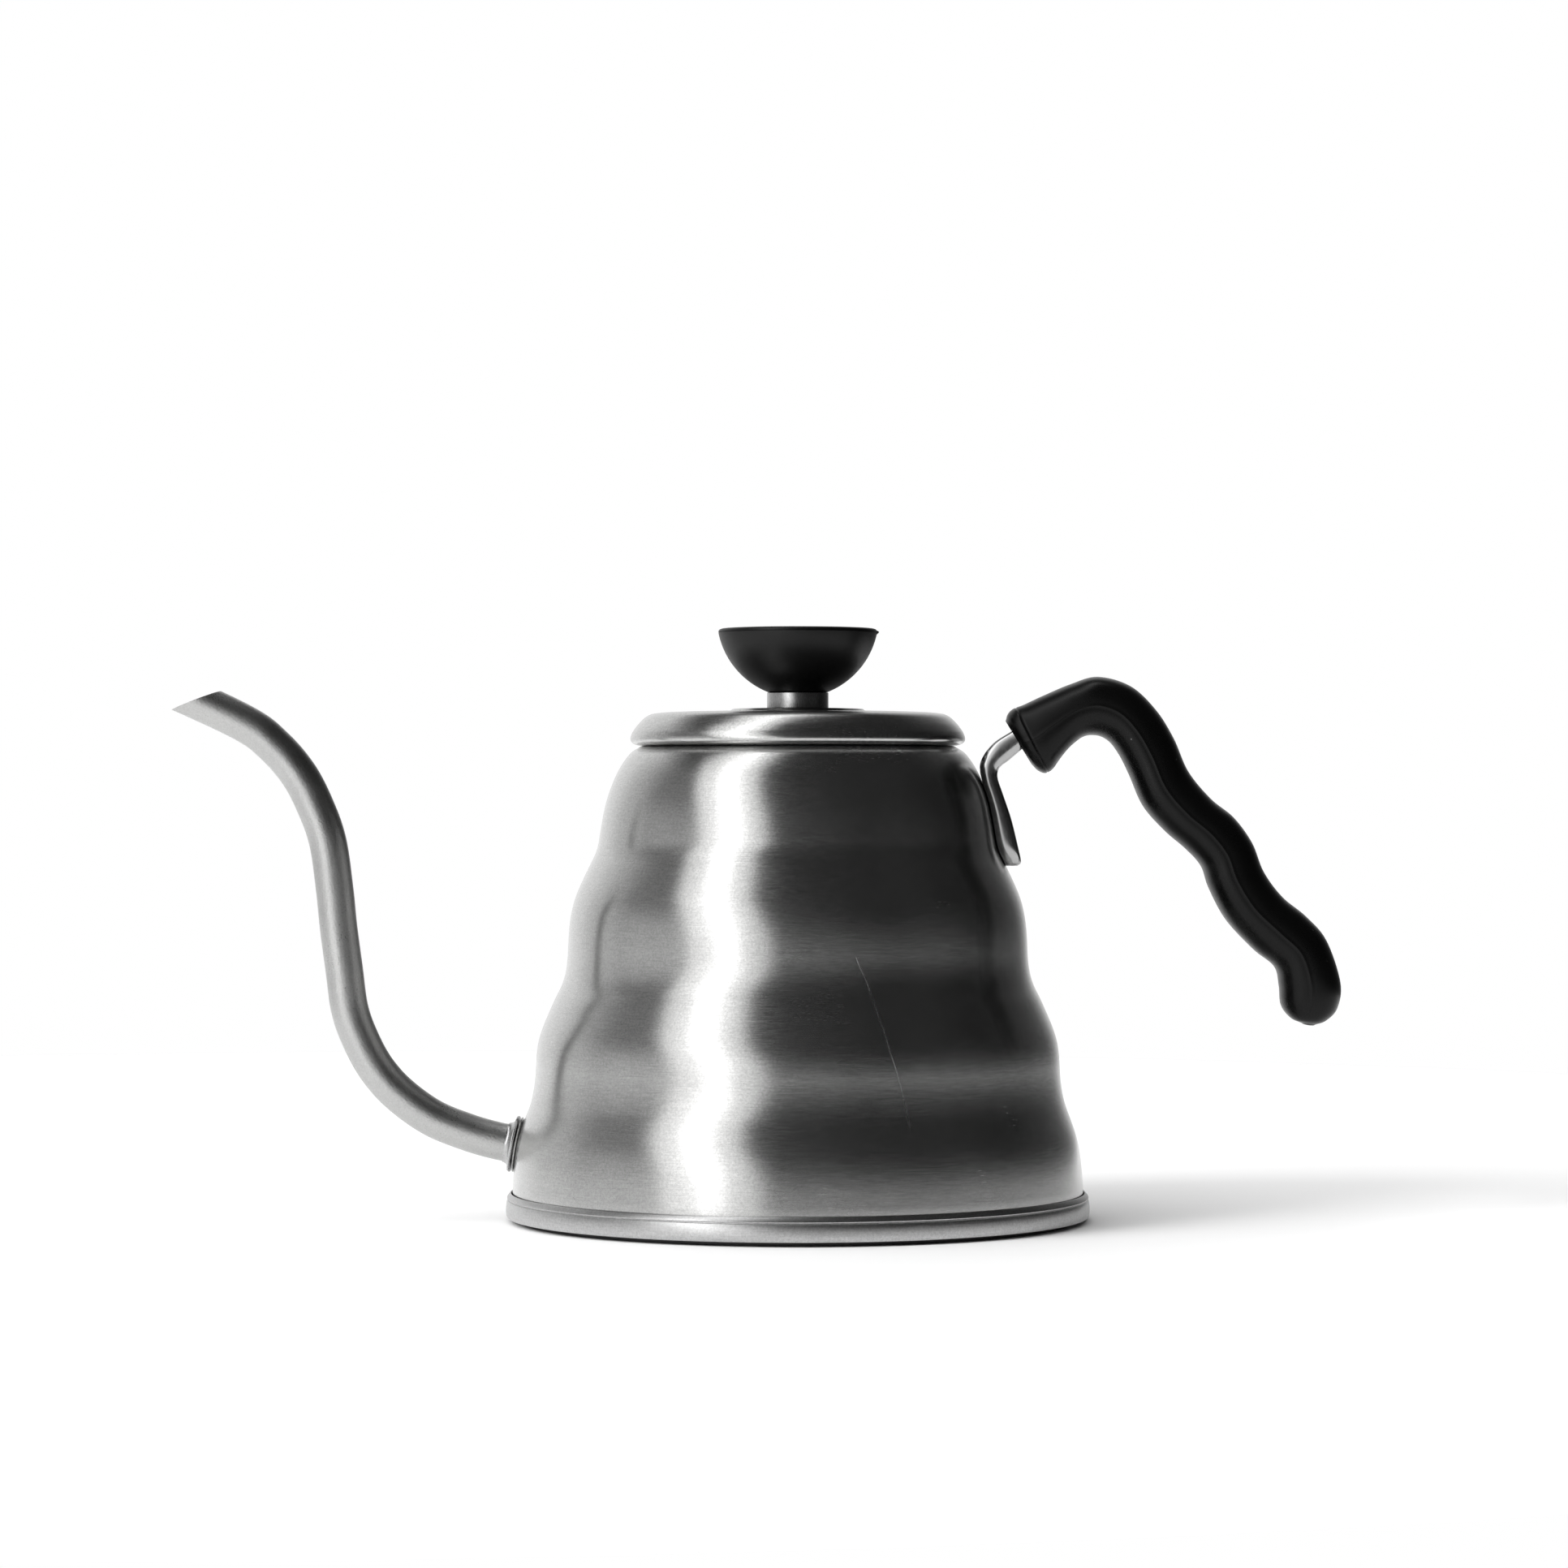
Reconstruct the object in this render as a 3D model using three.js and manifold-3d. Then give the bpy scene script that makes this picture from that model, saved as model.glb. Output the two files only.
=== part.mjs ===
// Gooseneck pour-over kettle, built as separate pieces.
// Millimetres, +Z up. The origin is on the floor under the centre of the body, the spout points to -X
// and the handle to +X. The kettle is symmetric about the XZ plane.
import * as THREE from "three";
import { mergeVertices } from "three/addons/utils/BufferGeometryUtils.js";
import Module from "manifold-3d";

const wasm = await Module();
wasm.setup();

// ------------------------------------------------------------------ driving dimensions
const CLEARANCE = 0.3; // gap kept between pieces that touch
const SHEET = 0.8; // drawn stainless sheet of the body
const WIDE_FACETS = 48; // facets round the body, base and lid
const KNOB_FACETS = 28;
const COLLAR_FACETS = 20; // facets round the collars of spout and knob
const SMALL_FACETS = 16; // facets round screws, washers and their holes

const BASE_RADIUS = 72; // outside of the seamed base, the widest round part
const FOOT_RADIUS = 68.9;
const FOOT_HEIGHT = 1.7;
const PAN_FLOOR = 2.9; // inside floor of the vessel
const PAN_SHEET = 0.9;
const BAND_BOTTOM = 1.06; // sharp lower edge of the band round the pan
const SEAM_TOP = 7; // top of the rolled seam
const MOUTH_RADIUS = 37.6; // clear opening of the vessel
const MOUTH_Z = 117; // top of the turned-in mouth, where the lid sits

// Wall of the body from its lower edge up: radius, height, and lean (radius gained per mm of height).
// Each swell ends in a shallow crease, where the wall leans most.
const WALL = [
  { r: 70.4, z: PAN_FLOOR + CLEARANCE, lean: 0 },
  { r: 70.3, z: 9, lean: -0.07 },
  { r: 68.95, z: 20, lean: -0.24 },
  { r: 67.1, z: 25.6, lean: -0.38 },
  { r: 65.75, z: 29.6, lean: -0.25 },
  { r: 64.65, z: 38, lean: -0.05 },
  { r: 64.15, z: 43.2, lean: -0.17 },
  { r: 61.5, z: 51, lean: -0.44 },
  { r: 59.1, z: 56.2, lean: -0.53 },
  { r: 57.9, z: 58.9, lean: -0.34 },
  { r: 56.72, z: 66.6, lean: -0.04 },
  { r: 54.35, z: 81, lean: -0.41 },
  { r: 50.6, z: 89, lean: -0.5 },
  { r: 49.45, z: 91.9, lean: -0.28 },
  { r: 48.85, z: 95.2, lean: -0.16 },
  { r: 46.3, z: 106.3, lean: -0.37 },
  { r: 42.4, z: 113.9, lean: -0.75 },
  { r: 39.4, z: 116.5, lean: -2 },
];
const WALL_STEP = 6.5; // longest facet along the wall

const SPOUT_ROOT = { x: -69.9, z: 18.3 }; // centre of the seam between body and spout
const SPOUT_RISE = THREE.MathUtils.degToRad(10.4); // the spout leaves the body this far above level
const SPOUT_DIAMETER = 9.3;
const SPOUT_SHEET = 0.7;
const SPOUT_BORE = SPOUT_DIAMETER / 2 + CLEARANCE; // radius of the holes the tube goes through
const SPOUT_LIP_RADIUS = 7.05; // outside of the seam
const SPOUT_STRAIGHT = 5; // straight length outside the seam, before the first bend
// Middle line of the tube after that, as x and z, to past the mouth.
const SPOUT_LINE = [
  [-81.9, 21.2],
  [-90.8, 24.8],
  [-99, 30.6],
  [-104.7, 36.9],
  [-108.6, 43.9],
  [-111.4, 51.6],
  [-112.8, 61.5],
  [-114.2, 71.9],
  [-115.2, 81.5],
  [-116.9, 93.2],
  [-119.9, 101.8],
  [-124.1, 109.9],
  [-130.2, 117],
  [-138.2, 122.9],
  [-160, 133],
];
const SPOUT_MOUTH = { high: [-143.2, 130.9], low: [-155.8, 126.1] }; // the slanted cut, as x and z

const BRACKET_WIDTH = 12;
// Bar of the bracket from its lower end up to the tang: x and z of the face towards the body, of the outer
// face, and half the width.
const BRACKET_LINE = [
  { inner: [52.2, 87.5], outer: [54.4, 87.5], half: 3.4 },
  { inner: [51.4, 88.3], outer: [55.1, 88.5], half: 4.4 },
  { inner: [50.2, 91.2], outer: [54.4, 92], half: 6 },
  { inner: [48.9, 98], outer: [52.7, 99], half: 6 },
  { inner: [47.4, 104.4], outer: [50.7, 105], half: 6 },
  { inner: [45.9, 108.6], outer: [49.4, 108.9], half: 6 },
  { inner: [45, 111.6], outer: [49.5, 111], half: 6 },
  { inner: [45.8, 114.4], outer: [50.5, 112.3], half: 6 },
  { inner: [48.4, 117.7], outer: [51.9, 113.3], half: 6 },
  { inner: [52.5, 120.4], outer: [55.3, 116.2], half: 6 },
];
const TANG_THICKNESS = 4.4;
const TANG_SLOPE = THREE.MathUtils.degToRad(35.4); // the tang and the screw frame lean this much
const TANG_REACH = 5.5; // length of the straight tang on each side of the screw
const SCREW_CROSSING = { x: 61.2, z: 123.7 }; // where the screw crosses the middle of the tang

// Grip from its front face to its tail: x and z of the upper and outer edge, of the lower and inner edge, and
// half the width.
const GRIP_LINE = [
  { outer: [51.3, 123.1], inner: [57.7, 112.5], half: 6.6 },
  { outer: [53.3, 126.2], inner: [61.2, 110.3], half: 8.7 },
  { outer: [55.7, 127.1], inner: [63, 111.4], half: 9 },
  { outer: [60.2, 129.2], inner: [65, 114.1], half: 9.2 },
  { outer: [67.3, 132.2], inner: [69.6, 118.8], half: 9.4 },
  { outer: [74, 134], inner: [73.4, 119.6], half: 9.6 },
  { outer: [82, 131.7], inner: [76.6, 118.2], half: 9.8 },
  { outer: [88.2, 125.9], inner: [79.2, 114.8], half: 10 },
  { outer: [92.6, 118.9], inner: [81.6, 110], half: 10.1 },
  { outer: [96.2, 110.7], inner: [85, 102.3], half: 10.2 },
  { outer: [101.7, 104], inner: [90.3, 96.2], half: 10.3 },
  { outer: [107.3, 99.4], inner: [95.6, 91.6], half: 10.4 },
  { outer: [111.8, 93.2], inner: [99.3, 87.4], half: 10.4 },
  { outer: [114.7, 86], inner: [101.2, 82], half: 10.4 },
  { outer: [119.2, 79.9], inner: [105.4, 74.2], half: 10.4 },
  { outer: [125, 75.1], inner: [112.1, 67], half: 10.4 },
  { outer: [130, 69.2], inner: [117.2, 62.8], half: 10.2 },
  { outer: [133.4, 59], inner: [118.4, 58.2], half: 9.9 },
  { outer: [132.7, 52.7], inner: [118.9, 53.3], half: 9.2 },
  { outer: [130, 49.6], inner: [121.2, 50.2], half: 7.4 },
  { outer: [127.2, 48.5], inner: [124, 48.9], half: 4 },
];
const GRIP_SQUARENESS = 2.6; // 2 gives an ellipse, more gives flatter sides

// Lid, measured up from the top of the mouth.
const LID_SHEET = 0.7;
const LID_RADIUS = 41.35;
const BOSS_TOP = 9.2; // raised boss under the collar
const BOSS_RADIUS = 17;
const SKIRT_RADIUS = 36.9;
const SKIRT_DEPTH = 13; // how far the skirt goes down into the vessel
const VENT_RADIUS = 1.5;
const VENT_PLACE = 24; // distance of the steam vent from the middle, towards the handle

// Knob, measured up from the top of the boss.
const COLLAR_RADIUS = 7.6;
const COLLAR_HEIGHT = 4;
const KNOB_SPHERE = 20; // radius of the round underside
const KNOB_SPHERE_Z = 22.7; // height of the middle of that sphere
const KNOB_RIM_Z = 18.8; // moulding line at the widest place
const KNOB_TOP_Z = 19.8;

const INSERT_RADIUS = 3;
const INSERT_TOP = 12.6;

// Fixings. Screws have plain shanks in place of threads, and every hole round them is wider by the clearance.
const LID_SCREW = { shank: 2, head: 4, headHeight: 2.2, length: 12.5 };
const LID_WASHER = { radius: 5, thickness: 0.8 };
const GRIP_SCREW = { shank: 1.5, head: 3, headHeight: 1.8, length: 10 };
const GRIP_WASHER = { radius: 3, thickness: 0.6 };
const GRIP_SCREW_SEAT = -5.6; // height of the head's seat, measured from the middle of the tang
const GRIP_NUT = { radius: 3.1, top: 4.7 };
const FIXING_GAP = 0.1; // gap between a screw head, its washer and what they press on

// ------------------------------------------------------------------ materials
const brushedSteel = new THREE.MeshStandardMaterial({ color: 0x9c9c9a, roughness: 0.35, metalness: 1 });
const satinSteel = new THREE.MeshStandardMaterial({ color: 0xb4b4b2, roughness: 0.45, metalness: 1 });
const polishedSteel = new THREE.MeshStandardMaterial({ color: 0xc4c4c4, roughness: 0.15, metalness: 1 });
const plainSteel = new THREE.MeshStandardMaterial({ color: 0x8f9090, roughness: 0.4, metalness: 1 });
const footMetal = new THREE.MeshStandardMaterial({ color: 0x77787a, roughness: 0.55, metalness: 1 });
const brass = new THREE.MeshStandardMaterial({ color: 0xb08d4a, roughness: 0.4, metalness: 1 });
const blackPlastic = new THREE.MeshStandardMaterial({ color: 0x151515, roughness: 0.42, metalness: 0 });

// ------------------------------------------------------------------ solids
// A closed geometry as a manifold-3d solid, with triangles that have lost their area dropped.
function toSolid(geometry) {
  const loose = geometry.index ? geometry.toNonIndexed() : geometry;
  const bare = new THREE.BufferGeometry().setAttribute("position", loose.getAttribute("position"));
  const merged = mergeVertices(bare, 1e-4);
  const corners = merged.index.array;
  const kept = [];
  for (let i = 0; i < corners.length; i += 3) {
    const [a, b, c] = corners.subarray(i, i + 3);
    if (a !== b && b !== c && c !== a) kept.push(a, b, c);
  }
  const build = (triVerts) =>
    new wasm.Manifold(
      new wasm.Mesh({ numProp: 3, vertProperties: merged.attributes.position.array, triVerts }),
    );
  const solid = build(new Uint32Array(kept));
  if (solid.volume() > 0) return solid;
  return build(new Uint32Array(kept.reverse())); // reversed corners turn every face round
}

function toMesh(name, solid, material) {
  const { vertProperties, triVerts } = solid.getMesh();
  const geometry = new THREE.BufferGeometry();
  geometry.setAttribute("position", new THREE.BufferAttribute(vertProperties, 3));
  geometry.setIndex(new THREE.BufferAttribute(triVerts, 1));
  geometry.computeVertexNormals();
  const mesh = new THREE.Mesh(geometry, material);
  mesh.name = name;
  return mesh;
}

// A solid turned about Z from a profile of [radius, height] pairs. A profile that doesn't start and end on
// the axis is closed into a ring.
function turned(profile, facets) {
  const points = profile.map(([r, z]) => new THREE.Vector2(r, z));
  const onAxis = profile[0][0] === 0 && profile.at(-1)[0] === 0;
  if (!onAxis) points.push(points[0].clone());
  return toSolid(new THREE.LatheGeometry(points, facets).rotateX(Math.PI / 2));
}

function disc(radius, from, to, facets) {
  return turned([[0, from], [radius, from], [radius, to], [0, to]], facets);
}

function ring(bore, radius, from, to, facets) {
  return turned([[bore, from], [radius, from], [radius, to], [bore, to]], facets);
}

// Washer for a screw, standing on height 0.
function washerRing(forScrew, { radius, thickness }) {
  return ring(forScrew.shank + CLEARANCE, radius, 0, thickness, SMALL_FACETS);
}

// A closed solid through rings of points, with a flat fan at both ends.
function lofted(rings) {
  const points = [];
  const middle = (ring) =>
    ring.reduce((sum, p) => sum.add(p), new THREE.Vector3()).divideScalar(ring.length);
  const quad = (a, b, c, d) => points.push(a, b, c, a, c, d);
  const first = rings[0];
  const last = rings.at(-1);
  first.forEach((p, i) => {
    const next = (i + 1) % first.length;
    for (let k = 0; k + 1 < rings.length; k++) {
      quad(rings[k][i], rings[k][next], rings[k + 1][next], rings[k + 1][i]);
    }
    points.push(middle(first), first[next], p);
    points.push(middle(last), last[i], last[next]);
  });
  return toSolid(new THREE.BufferGeometry().setFromPoints(points));
}

// ------------------------------------------------------------------ curves
// Smooth [radius, height] profile through knots that each give a lean.
function wallProfile(knots) {
  const profile = [];
  for (let k = 0; k + 1 < knots.length; k++) {
    const [a, b] = [knots[k], knots[k + 1]];
    const rise = b.z - a.z;
    const steps = Math.ceil(rise / WALL_STEP);
    for (let i = 0; i < steps; i++) {
      const t = i / steps;
      const blend = t * t * (3 - 2 * t);
      const r =
        a.r + (b.r - a.r) * blend +
        rise * t * (1 - t) * ((1 - t) * a.lean - t * b.lean);
      profile.push([r, a.z + rise * t]);
    }
  }
  const top = knots.at(-1);
  profile.push([top.r, top.z]);
  return profile;
}

// The same profile moved towards the axis by a sheet's thickness, square to the wall.
function insideOf(profile, thickness) {
  return profile.map(([r, z], i) => {
    const [r0, z0] = profile[Math.max(i - 1, 0)];
    const [r1, z1] = profile[Math.min(i + 1, profile.length - 1)];
    const length = Math.hypot(r1 - r0, z1 - z0);
    return [r - (thickness * (z1 - z0)) / length, z + (thickness * (r1 - r0)) / length];
  });
}

const smoothCurve = (points) => new THREE.CatmullRomCurve3(points, false, "catmullrom", 0.5);

// Evenly spread samples of a smooth curve through knots, each knot a list of numbers.
function smoothRows(knots, count) {
  const width = knots[0].length;
  const curves = [];
  for (let first = 0; first < width; first += 3) {
    const points = knots.map((row) => {
      const [x, y = 0, z = 0] = row.slice(first, first + 3);
      return new THREE.Vector3(x, y, z);
    });
    curves.push(smoothCurve(points));
  }
  const rows = [];
  for (let i = 0; i <= count; i++) {
    rows.push(curves.flatMap((curve) => curve.getPoint(i / count).toArray()).slice(0, width));
  }
  return rows;
}

const across = new THREE.Vector3(0, 1, 0);
const inPlane = (x, z) => new THREE.Vector3(x, 0, z);

// Ring of points round the middle of two edges, from one edge (angle 0) to the other (angle pi).
function roundRing(edgeA, edgeB, half, count, squareness) {
  const centre = edgeA.clone().add(edgeB).multiplyScalar(0.5);
  const reach = edgeA.clone().sub(centre);
  const power = 2 / squareness;
  const squared = (v) => Math.sign(v) * Math.abs(v) ** power;
  const ring = [];
  for (let i = 0; i < count; i++) {
    const angle = (2 * Math.PI * i) / count;
    ring.push(
      centre
        .clone()
        .addScaledVector(reach, squared(Math.cos(angle)))
        .addScaledVector(across, half * squared(Math.sin(angle))),
    );
  }
  return ring;
}

// ------------------------------------------------------------------ frames of the turned groups
// Puts an object in the frame of the spout's root: +Z out of the body along the tube, 0 at the seam.
function alongSpout(object) {
  object.rotation.set(0, SPOUT_RISE - Math.PI / 2, 0);
  object.position.set(SPOUT_ROOT.x, 0, SPOUT_ROOT.z);
  object.updateMatrix();
  return object;
}

// Puts an object in the frame of the tang: +X along the tang into the grip, +Z up through the screw.
function onTang(object) {
  object.rotation.set(0, -TANG_SLOPE, 0);
  object.position.set(SCREW_CROSSING.x, 0, SCREW_CROSSING.z);
  object.updateMatrix();
  return object;
}

const spoutFrame = alongSpout(new THREE.Object3D()).matrix;
const tangFrame = onTang(new THREE.Object3D()).matrix;
const moved = (solid, matrix) => solid.transform(matrix.toArray());

// ------------------------------------------------------------------ body
function bodyShell() {
  const outside = wallProfile(WALL);
  const inside = insideOf(outside, SHEET).reverse();
  const turnedIn = 2.6; // depth of the edge that is turned down into the mouth
  const mouth = [
    [MOUTH_RADIUS + 1.2, MOUTH_Z - 0.16],
    [MOUTH_RADIUS + 0.7, MOUTH_Z],
    [MOUTH_RADIUS + 0.25, MOUTH_Z - 0.15],
    [MOUTH_RADIUS, MOUTH_Z - 0.6],
    [MOUTH_RADIUS, MOUTH_Z - turnedIn],
    [MOUTH_RADIUS + SHEET, MOUTH_Z - turnedIn],
    [MOUTH_RADIUS + SHEET, MOUTH_Z - turnedIn / 2],
  ];
  const shell = turned([...outside, ...mouth, ...inside], WIDE_FACETS);
  const lipFace = -CLEARANCE / 2;
  const neckRoot = -2.6; // inside the wall
  const neck = turned(
    [
      [0, neckRoot],
      [SPOUT_LIP_RADIUS + 0.45, neckRoot],
      [SPOUT_LIP_RADIUS, -1],
      [SPOUT_LIP_RADIUS, -0.5],
      [SPOUT_LIP_RADIUS - 0.35, lipFace],
      [0, lipFace],
    ],
    COLLAR_FACETS,
  );
  const bore = disc(SPOUT_BORE, 3 * neckRoot, -neckRoot, COLLAR_FACETS);
  return shell.add(moved(neck, spoutFrame)).subtract(moved(bore, spoutFrame));
}

// Vessel floor with a band round it, and the rolled seam above a fine groove.
function basePan() {
  const floorUnder = PAN_FLOOR - PAN_SHEET;
  const bandInside = FOOT_RADIUS + 0.4;
  const wallInside = WALL[0].r + CLEARANCE;
  return turned(
    [
      [0, floorUnder],
      [bandInside, floorUnder],
      [bandInside + 0.3, BAND_BOTTOM],
      [BASE_RADIUS - 0.35, BAND_BOTTOM],
      [BASE_RADIUS - 0.08, 1.6],
      [BASE_RADIUS, 2.4],
      [BASE_RADIUS, 3.4],
      [BASE_RADIUS - 0.32, 5.3],
      [BASE_RADIUS - 0.5, 5.5], // groove
      [BASE_RADIUS - 0.27, 5.75],
      [BASE_RADIUS - 0.34, 6.08],
      [BASE_RADIUS - 1.06, SEAM_TOP - 0.05],
      [wallInside, SEAM_TOP],
      [wallInside, PAN_FLOOR],
      [0, PAN_FLOOR],
    ],
    WIDE_FACETS,
  );
}

function baseDisc() {
  const chamfer = 0.3;
  return turned(
    [
      [0, 0],
      [FOOT_RADIUS - chamfer, 0],
      [FOOT_RADIUS, chamfer],
      [FOOT_RADIUS, FOOT_HEIGHT],
      [0, FOOT_HEIGHT],
    ],
    WIDE_FACETS,
  );
}

// ------------------------------------------------------------------ spout
function spoutPath() {
  const [dx, dz] = [-Math.cos(SPOUT_RISE), Math.sin(SPOUT_RISE)];
  const inVessel = -3; // the tube's end stands this far inside the seam
  const straight = [inVessel, 1, SPOUT_STRAIGHT].map((s) => [
    SPOUT_ROOT.x + s * dx,
    SPOUT_ROOT.z + s * dz,
  ]);
  const points = [...straight, ...SPOUT_LINE].map(([x, z]) => inPlane(x, z));
  return smoothCurve(points);
}

function spoutTube() {
  const circle = (Path, radius) => new Path().absarc(0, 0, radius, 0, 2 * Math.PI);
  const section = circle(THREE.Shape, SPOUT_DIAMETER / 2);
  section.holes.push(circle(THREE.Path, SPOUT_DIAMETER / 2 - SPOUT_SHEET));
  const tube = new THREE.ExtrudeGeometry(section, {
    steps: 30,
    curveSegments: 7,
    extrudePath: spoutPath(),
  });
  const high = inPlane(...SPOUT_MOUTH.high);
  const low = inPlane(...SPOUT_MOUTH.low);
  const slope = Math.atan2(high.z - low.z, high.x - low.x);
  const cutter = new THREE.BoxGeometry(60, 30, 30).translate(0, 0, 15); // its lower face makes the cut
  const place = new THREE.Matrix4().makeRotationY(-slope);
  place.setPosition(high.add(low).multiplyScalar(0.5));
  return toSolid(tube).subtract(moved(toSolid(cutter), place));
}

// Lip against the body's neck, then a hollow flare down to the tube.
function spoutCollar() {
  const length = 2.5;
  return turned(
    [
      [SPOUT_BORE, CLEARANCE / 2],
      [SPOUT_LIP_RADIUS - 0.35, CLEARANCE / 2],
      [SPOUT_LIP_RADIUS, 0.35],
      [SPOUT_LIP_RADIUS, 0.65],
      [SPOUT_LIP_RADIUS - 0.2, 0.9],
      [SPOUT_LIP_RADIUS - 0.4, 1.1],
      [SPOUT_BORE + 0.95, 1.25],
      [SPOUT_BORE + 0.5, 1.6],
      [SPOUT_BORE + 0.25, 2.1],
      [SPOUT_BORE + 0.2, length],
      [SPOUT_BORE, length],
    ],
    COLLAR_FACETS,
  );
}

// ------------------------------------------------------------------ handle
// Section of the bar between its inner and outer edges, with broad chamfers towards the outside.
function barRing({ inner, outer, half }) {
  const from = inPlane(...inner);
  const reach = inPlane(...outer).sub(from);
  const thickness = reach.length();
  // half width against the share of the thickness
  const near = [
    [half - 0.5, 0],
    [half, 0.55 / thickness],
    [half, 1 - 1.6 / thickness],
    [half - 1.3, 1 - 0.2 / thickness],
    [half - 2, 1],
  ];
  const far = near.map(([y, t]) => [-y, t]).reverse();
  return [...near, ...far].map(([y, t]) =>
    from.clone().addScaledVector(reach, t).addScaledVector(across, y),
  );
}

// Section of the flat tang at a distance past the screw.
function tangStation(distance) {
  const along = inPlane(Math.cos(TANG_SLOPE), Math.sin(TANG_SLOPE));
  const up = inPlane(-Math.sin(TANG_SLOPE), Math.cos(TANG_SLOPE));
  const centre = inPlane(SCREW_CROSSING.x, SCREW_CROSSING.z).addScaledVector(along, distance);
  const upper = centre.clone().addScaledVector(up, TANG_THICKNESS / 2);
  const lower = centre.clone().addScaledVector(up, -TANG_THICKNESS / 2);
  return { inner: [upper.x, upper.z], outer: [lower.x, lower.z], half: BRACKET_WIDTH / 2 };
}

function handleBracket() {
  const knots = BRACKET_LINE.map(({ inner, outer, half }) => [...inner, ...outer, half]);
  const rows = smoothRows(knots, 20);
  const bar = rows.map(([a, b, c, d, half]) => ({ inner: [a, b], outer: [c, d], half }));
  const tang = [tangStation(-TANG_REACH), tangStation(TANG_REACH)];
  const hole = disc(GRIP_SCREW.shank + CLEARANCE, -TANG_THICKNESS, TANG_THICKNESS, SMALL_FACETS);
  return lofted([...bar, ...tang].map(barRing)).subtract(moved(hole, tangFrame));
}

function boxIn(frame, [sx, sy, sz], [x, y, z]) {
  return moved(toSolid(new THREE.BoxGeometry(sx, sy, sz).translate(x, y, z)), frame);
}

function handleGrip() {
  const knots = GRIP_LINE.map(({ outer, inner, half }) => [...outer, ...inner, half]);
  const rings = smoothRows(knots, 32).map(([a, b, c, d, half]) =>
    roundRing(inPlane(a, b), inPlane(c, d), half, 14, GRIP_SQUARENESS),
  );
  const socketLength = 30;
  const socketEnd = TANG_REACH + CLEARANCE;
  const play = 0.5; // more room under the tang, where the bar bends into it
  const socket = boxIn(
    tangFrame,
    [socketLength, BRACKET_WIDTH + 2 * CLEARANCE, TANG_THICKNESS + 2 * CLEARANCE + play],
    [socketEnd - socketLength / 2, 0, -play / 2],
  );
  const seat = GRIP_SCREW_SEAT + 2 * FIXING_GAP + GRIP_WASHER.thickness + CLEARANCE;
  const headHole = disc(GRIP_SCREW.head + CLEARANCE, -16, seat, SMALL_FACETS);
  const shankHole = disc(GRIP_SCREW.shank + CLEARANCE, seat - 1, 0, SMALL_FACETS);
  const nutHole = disc(GRIP_NUT.radius + CLEARANCE, 0, GRIP_NUT.top + CLEARANCE, 6);
  const holes = headHole.add(shankHole).add(nutHole);
  return lofted(rings).subtract(socket).subtract(moved(holes, tangFrame));
}

// Hexagon nut in the pocket above the tang.
function gripNutShape() {
  const hexagon = disc(GRIP_NUT.radius, TANG_THICKNESS / 2 + CLEARANCE, GRIP_NUT.top, 6);
  return hexagon.subtract(disc(GRIP_SCREW.shank + CLEARANCE, 0, GRIP_SCREW.length, SMALL_FACETS));
}

// Pan-head screw with its seat at height 0, its head below and its shank above, and a cross recess.
function screw({ shank, head, headHeight, length }) {
  const solid = turned(
    [
      [0, -headHeight],
      [head * 0.62, -headHeight],
      [head * 0.92, -headHeight * 0.6],
      [head, -headHeight * 0.25],
      [head, 0],
      [shank, 0],
      [shank, length - 0.6],
      [shank - 0.5, length],
      [0, length],
    ],
    SMALL_FACETS,
  );
  const slotDepth = headHeight * 0.5;
  const slot = (sx, sy) =>
    toSolid(new THREE.BoxGeometry(sx, sy, 2 * slotDepth).translate(0, 0, -headHeight));
  const long = head * 1.1;
  const wide = head * 0.26;
  return solid.subtract(slot(long, wide)).subtract(slot(wide, long));
}

// ------------------------------------------------------------------ lid, heights from the mouth
function lidCover() {
  const hole = LID_SCREW.shank + CLEARANCE;
  const outside = [
    [hole, BOSS_TOP],
    [BOSS_RADIUS - 1.1, BOSS_TOP],
    [BOSS_RADIUS - 0.6, BOSS_TOP - 0.2],
    [BOSS_RADIUS, BOSS_TOP - 0.65],
    [26, BOSS_TOP - 0.75],
    [33.5, BOSS_TOP - 1],
    [36.2, 7.95],
    [37.8, 7],
    [39.5, 5.3],
    [41, 3],
    [LID_RADIUS, 1.9],
  ];
  const hem = [
    [41.2, 1.1],
    [40.4, 0.4],
    [39.4, 0.1],
    [38.5, 0.15],
    [38.5, 0.85],
    [39.7, 1.1],
    [40.3, 2],
  ];
  const inside = [
    [39.9, 2.9],
    [38.2, 5.2],
    [36.4, 6.6],
    [33.3, BOSS_TOP - 1 - LID_SHEET],
    [26, BOSS_TOP - 0.75 - LID_SHEET],
    [BOSS_RADIUS - 0.6, BOSS_TOP - 0.65 - LID_SHEET],
    [BOSS_RADIUS - 1.4, BOSS_TOP - LID_SHEET],
    [hole, BOSS_TOP - LID_SHEET],
  ];
  const cover = turned([...outside, ...hem, ...inside], WIDE_FACETS);
  const vent = disc(VENT_RADIUS, 0, 2 * BOSS_TOP, SMALL_FACETS).translate([VENT_PLACE, 0, 0]);
  return cover.subtract(vent);
}

// Ring that hangs into the mouth, with a flange that is spot-welded under the cover.
function lidSkirt() {
  const inside = SKIRT_RADIUS - LID_SHEET;
  const flangeInside = 30;
  return turned(
    [
      [SKIRT_RADIUS, -SKIRT_DEPTH],
      [SKIRT_RADIUS, 4.9],
      [SKIRT_RADIUS - 0.4, 5.6],
      [SKIRT_RADIUS - 1.7, 6.2],
      [flangeInside, 6.9],
      [flangeInside, 6.3],
      [inside - 1.3, 5.6],
      [inside - 0.3, 5.1],
      [inside, 4.6],
      [inside, -SKIRT_DEPTH],
    ],
    WIDE_FACETS,
  );
}

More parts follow.
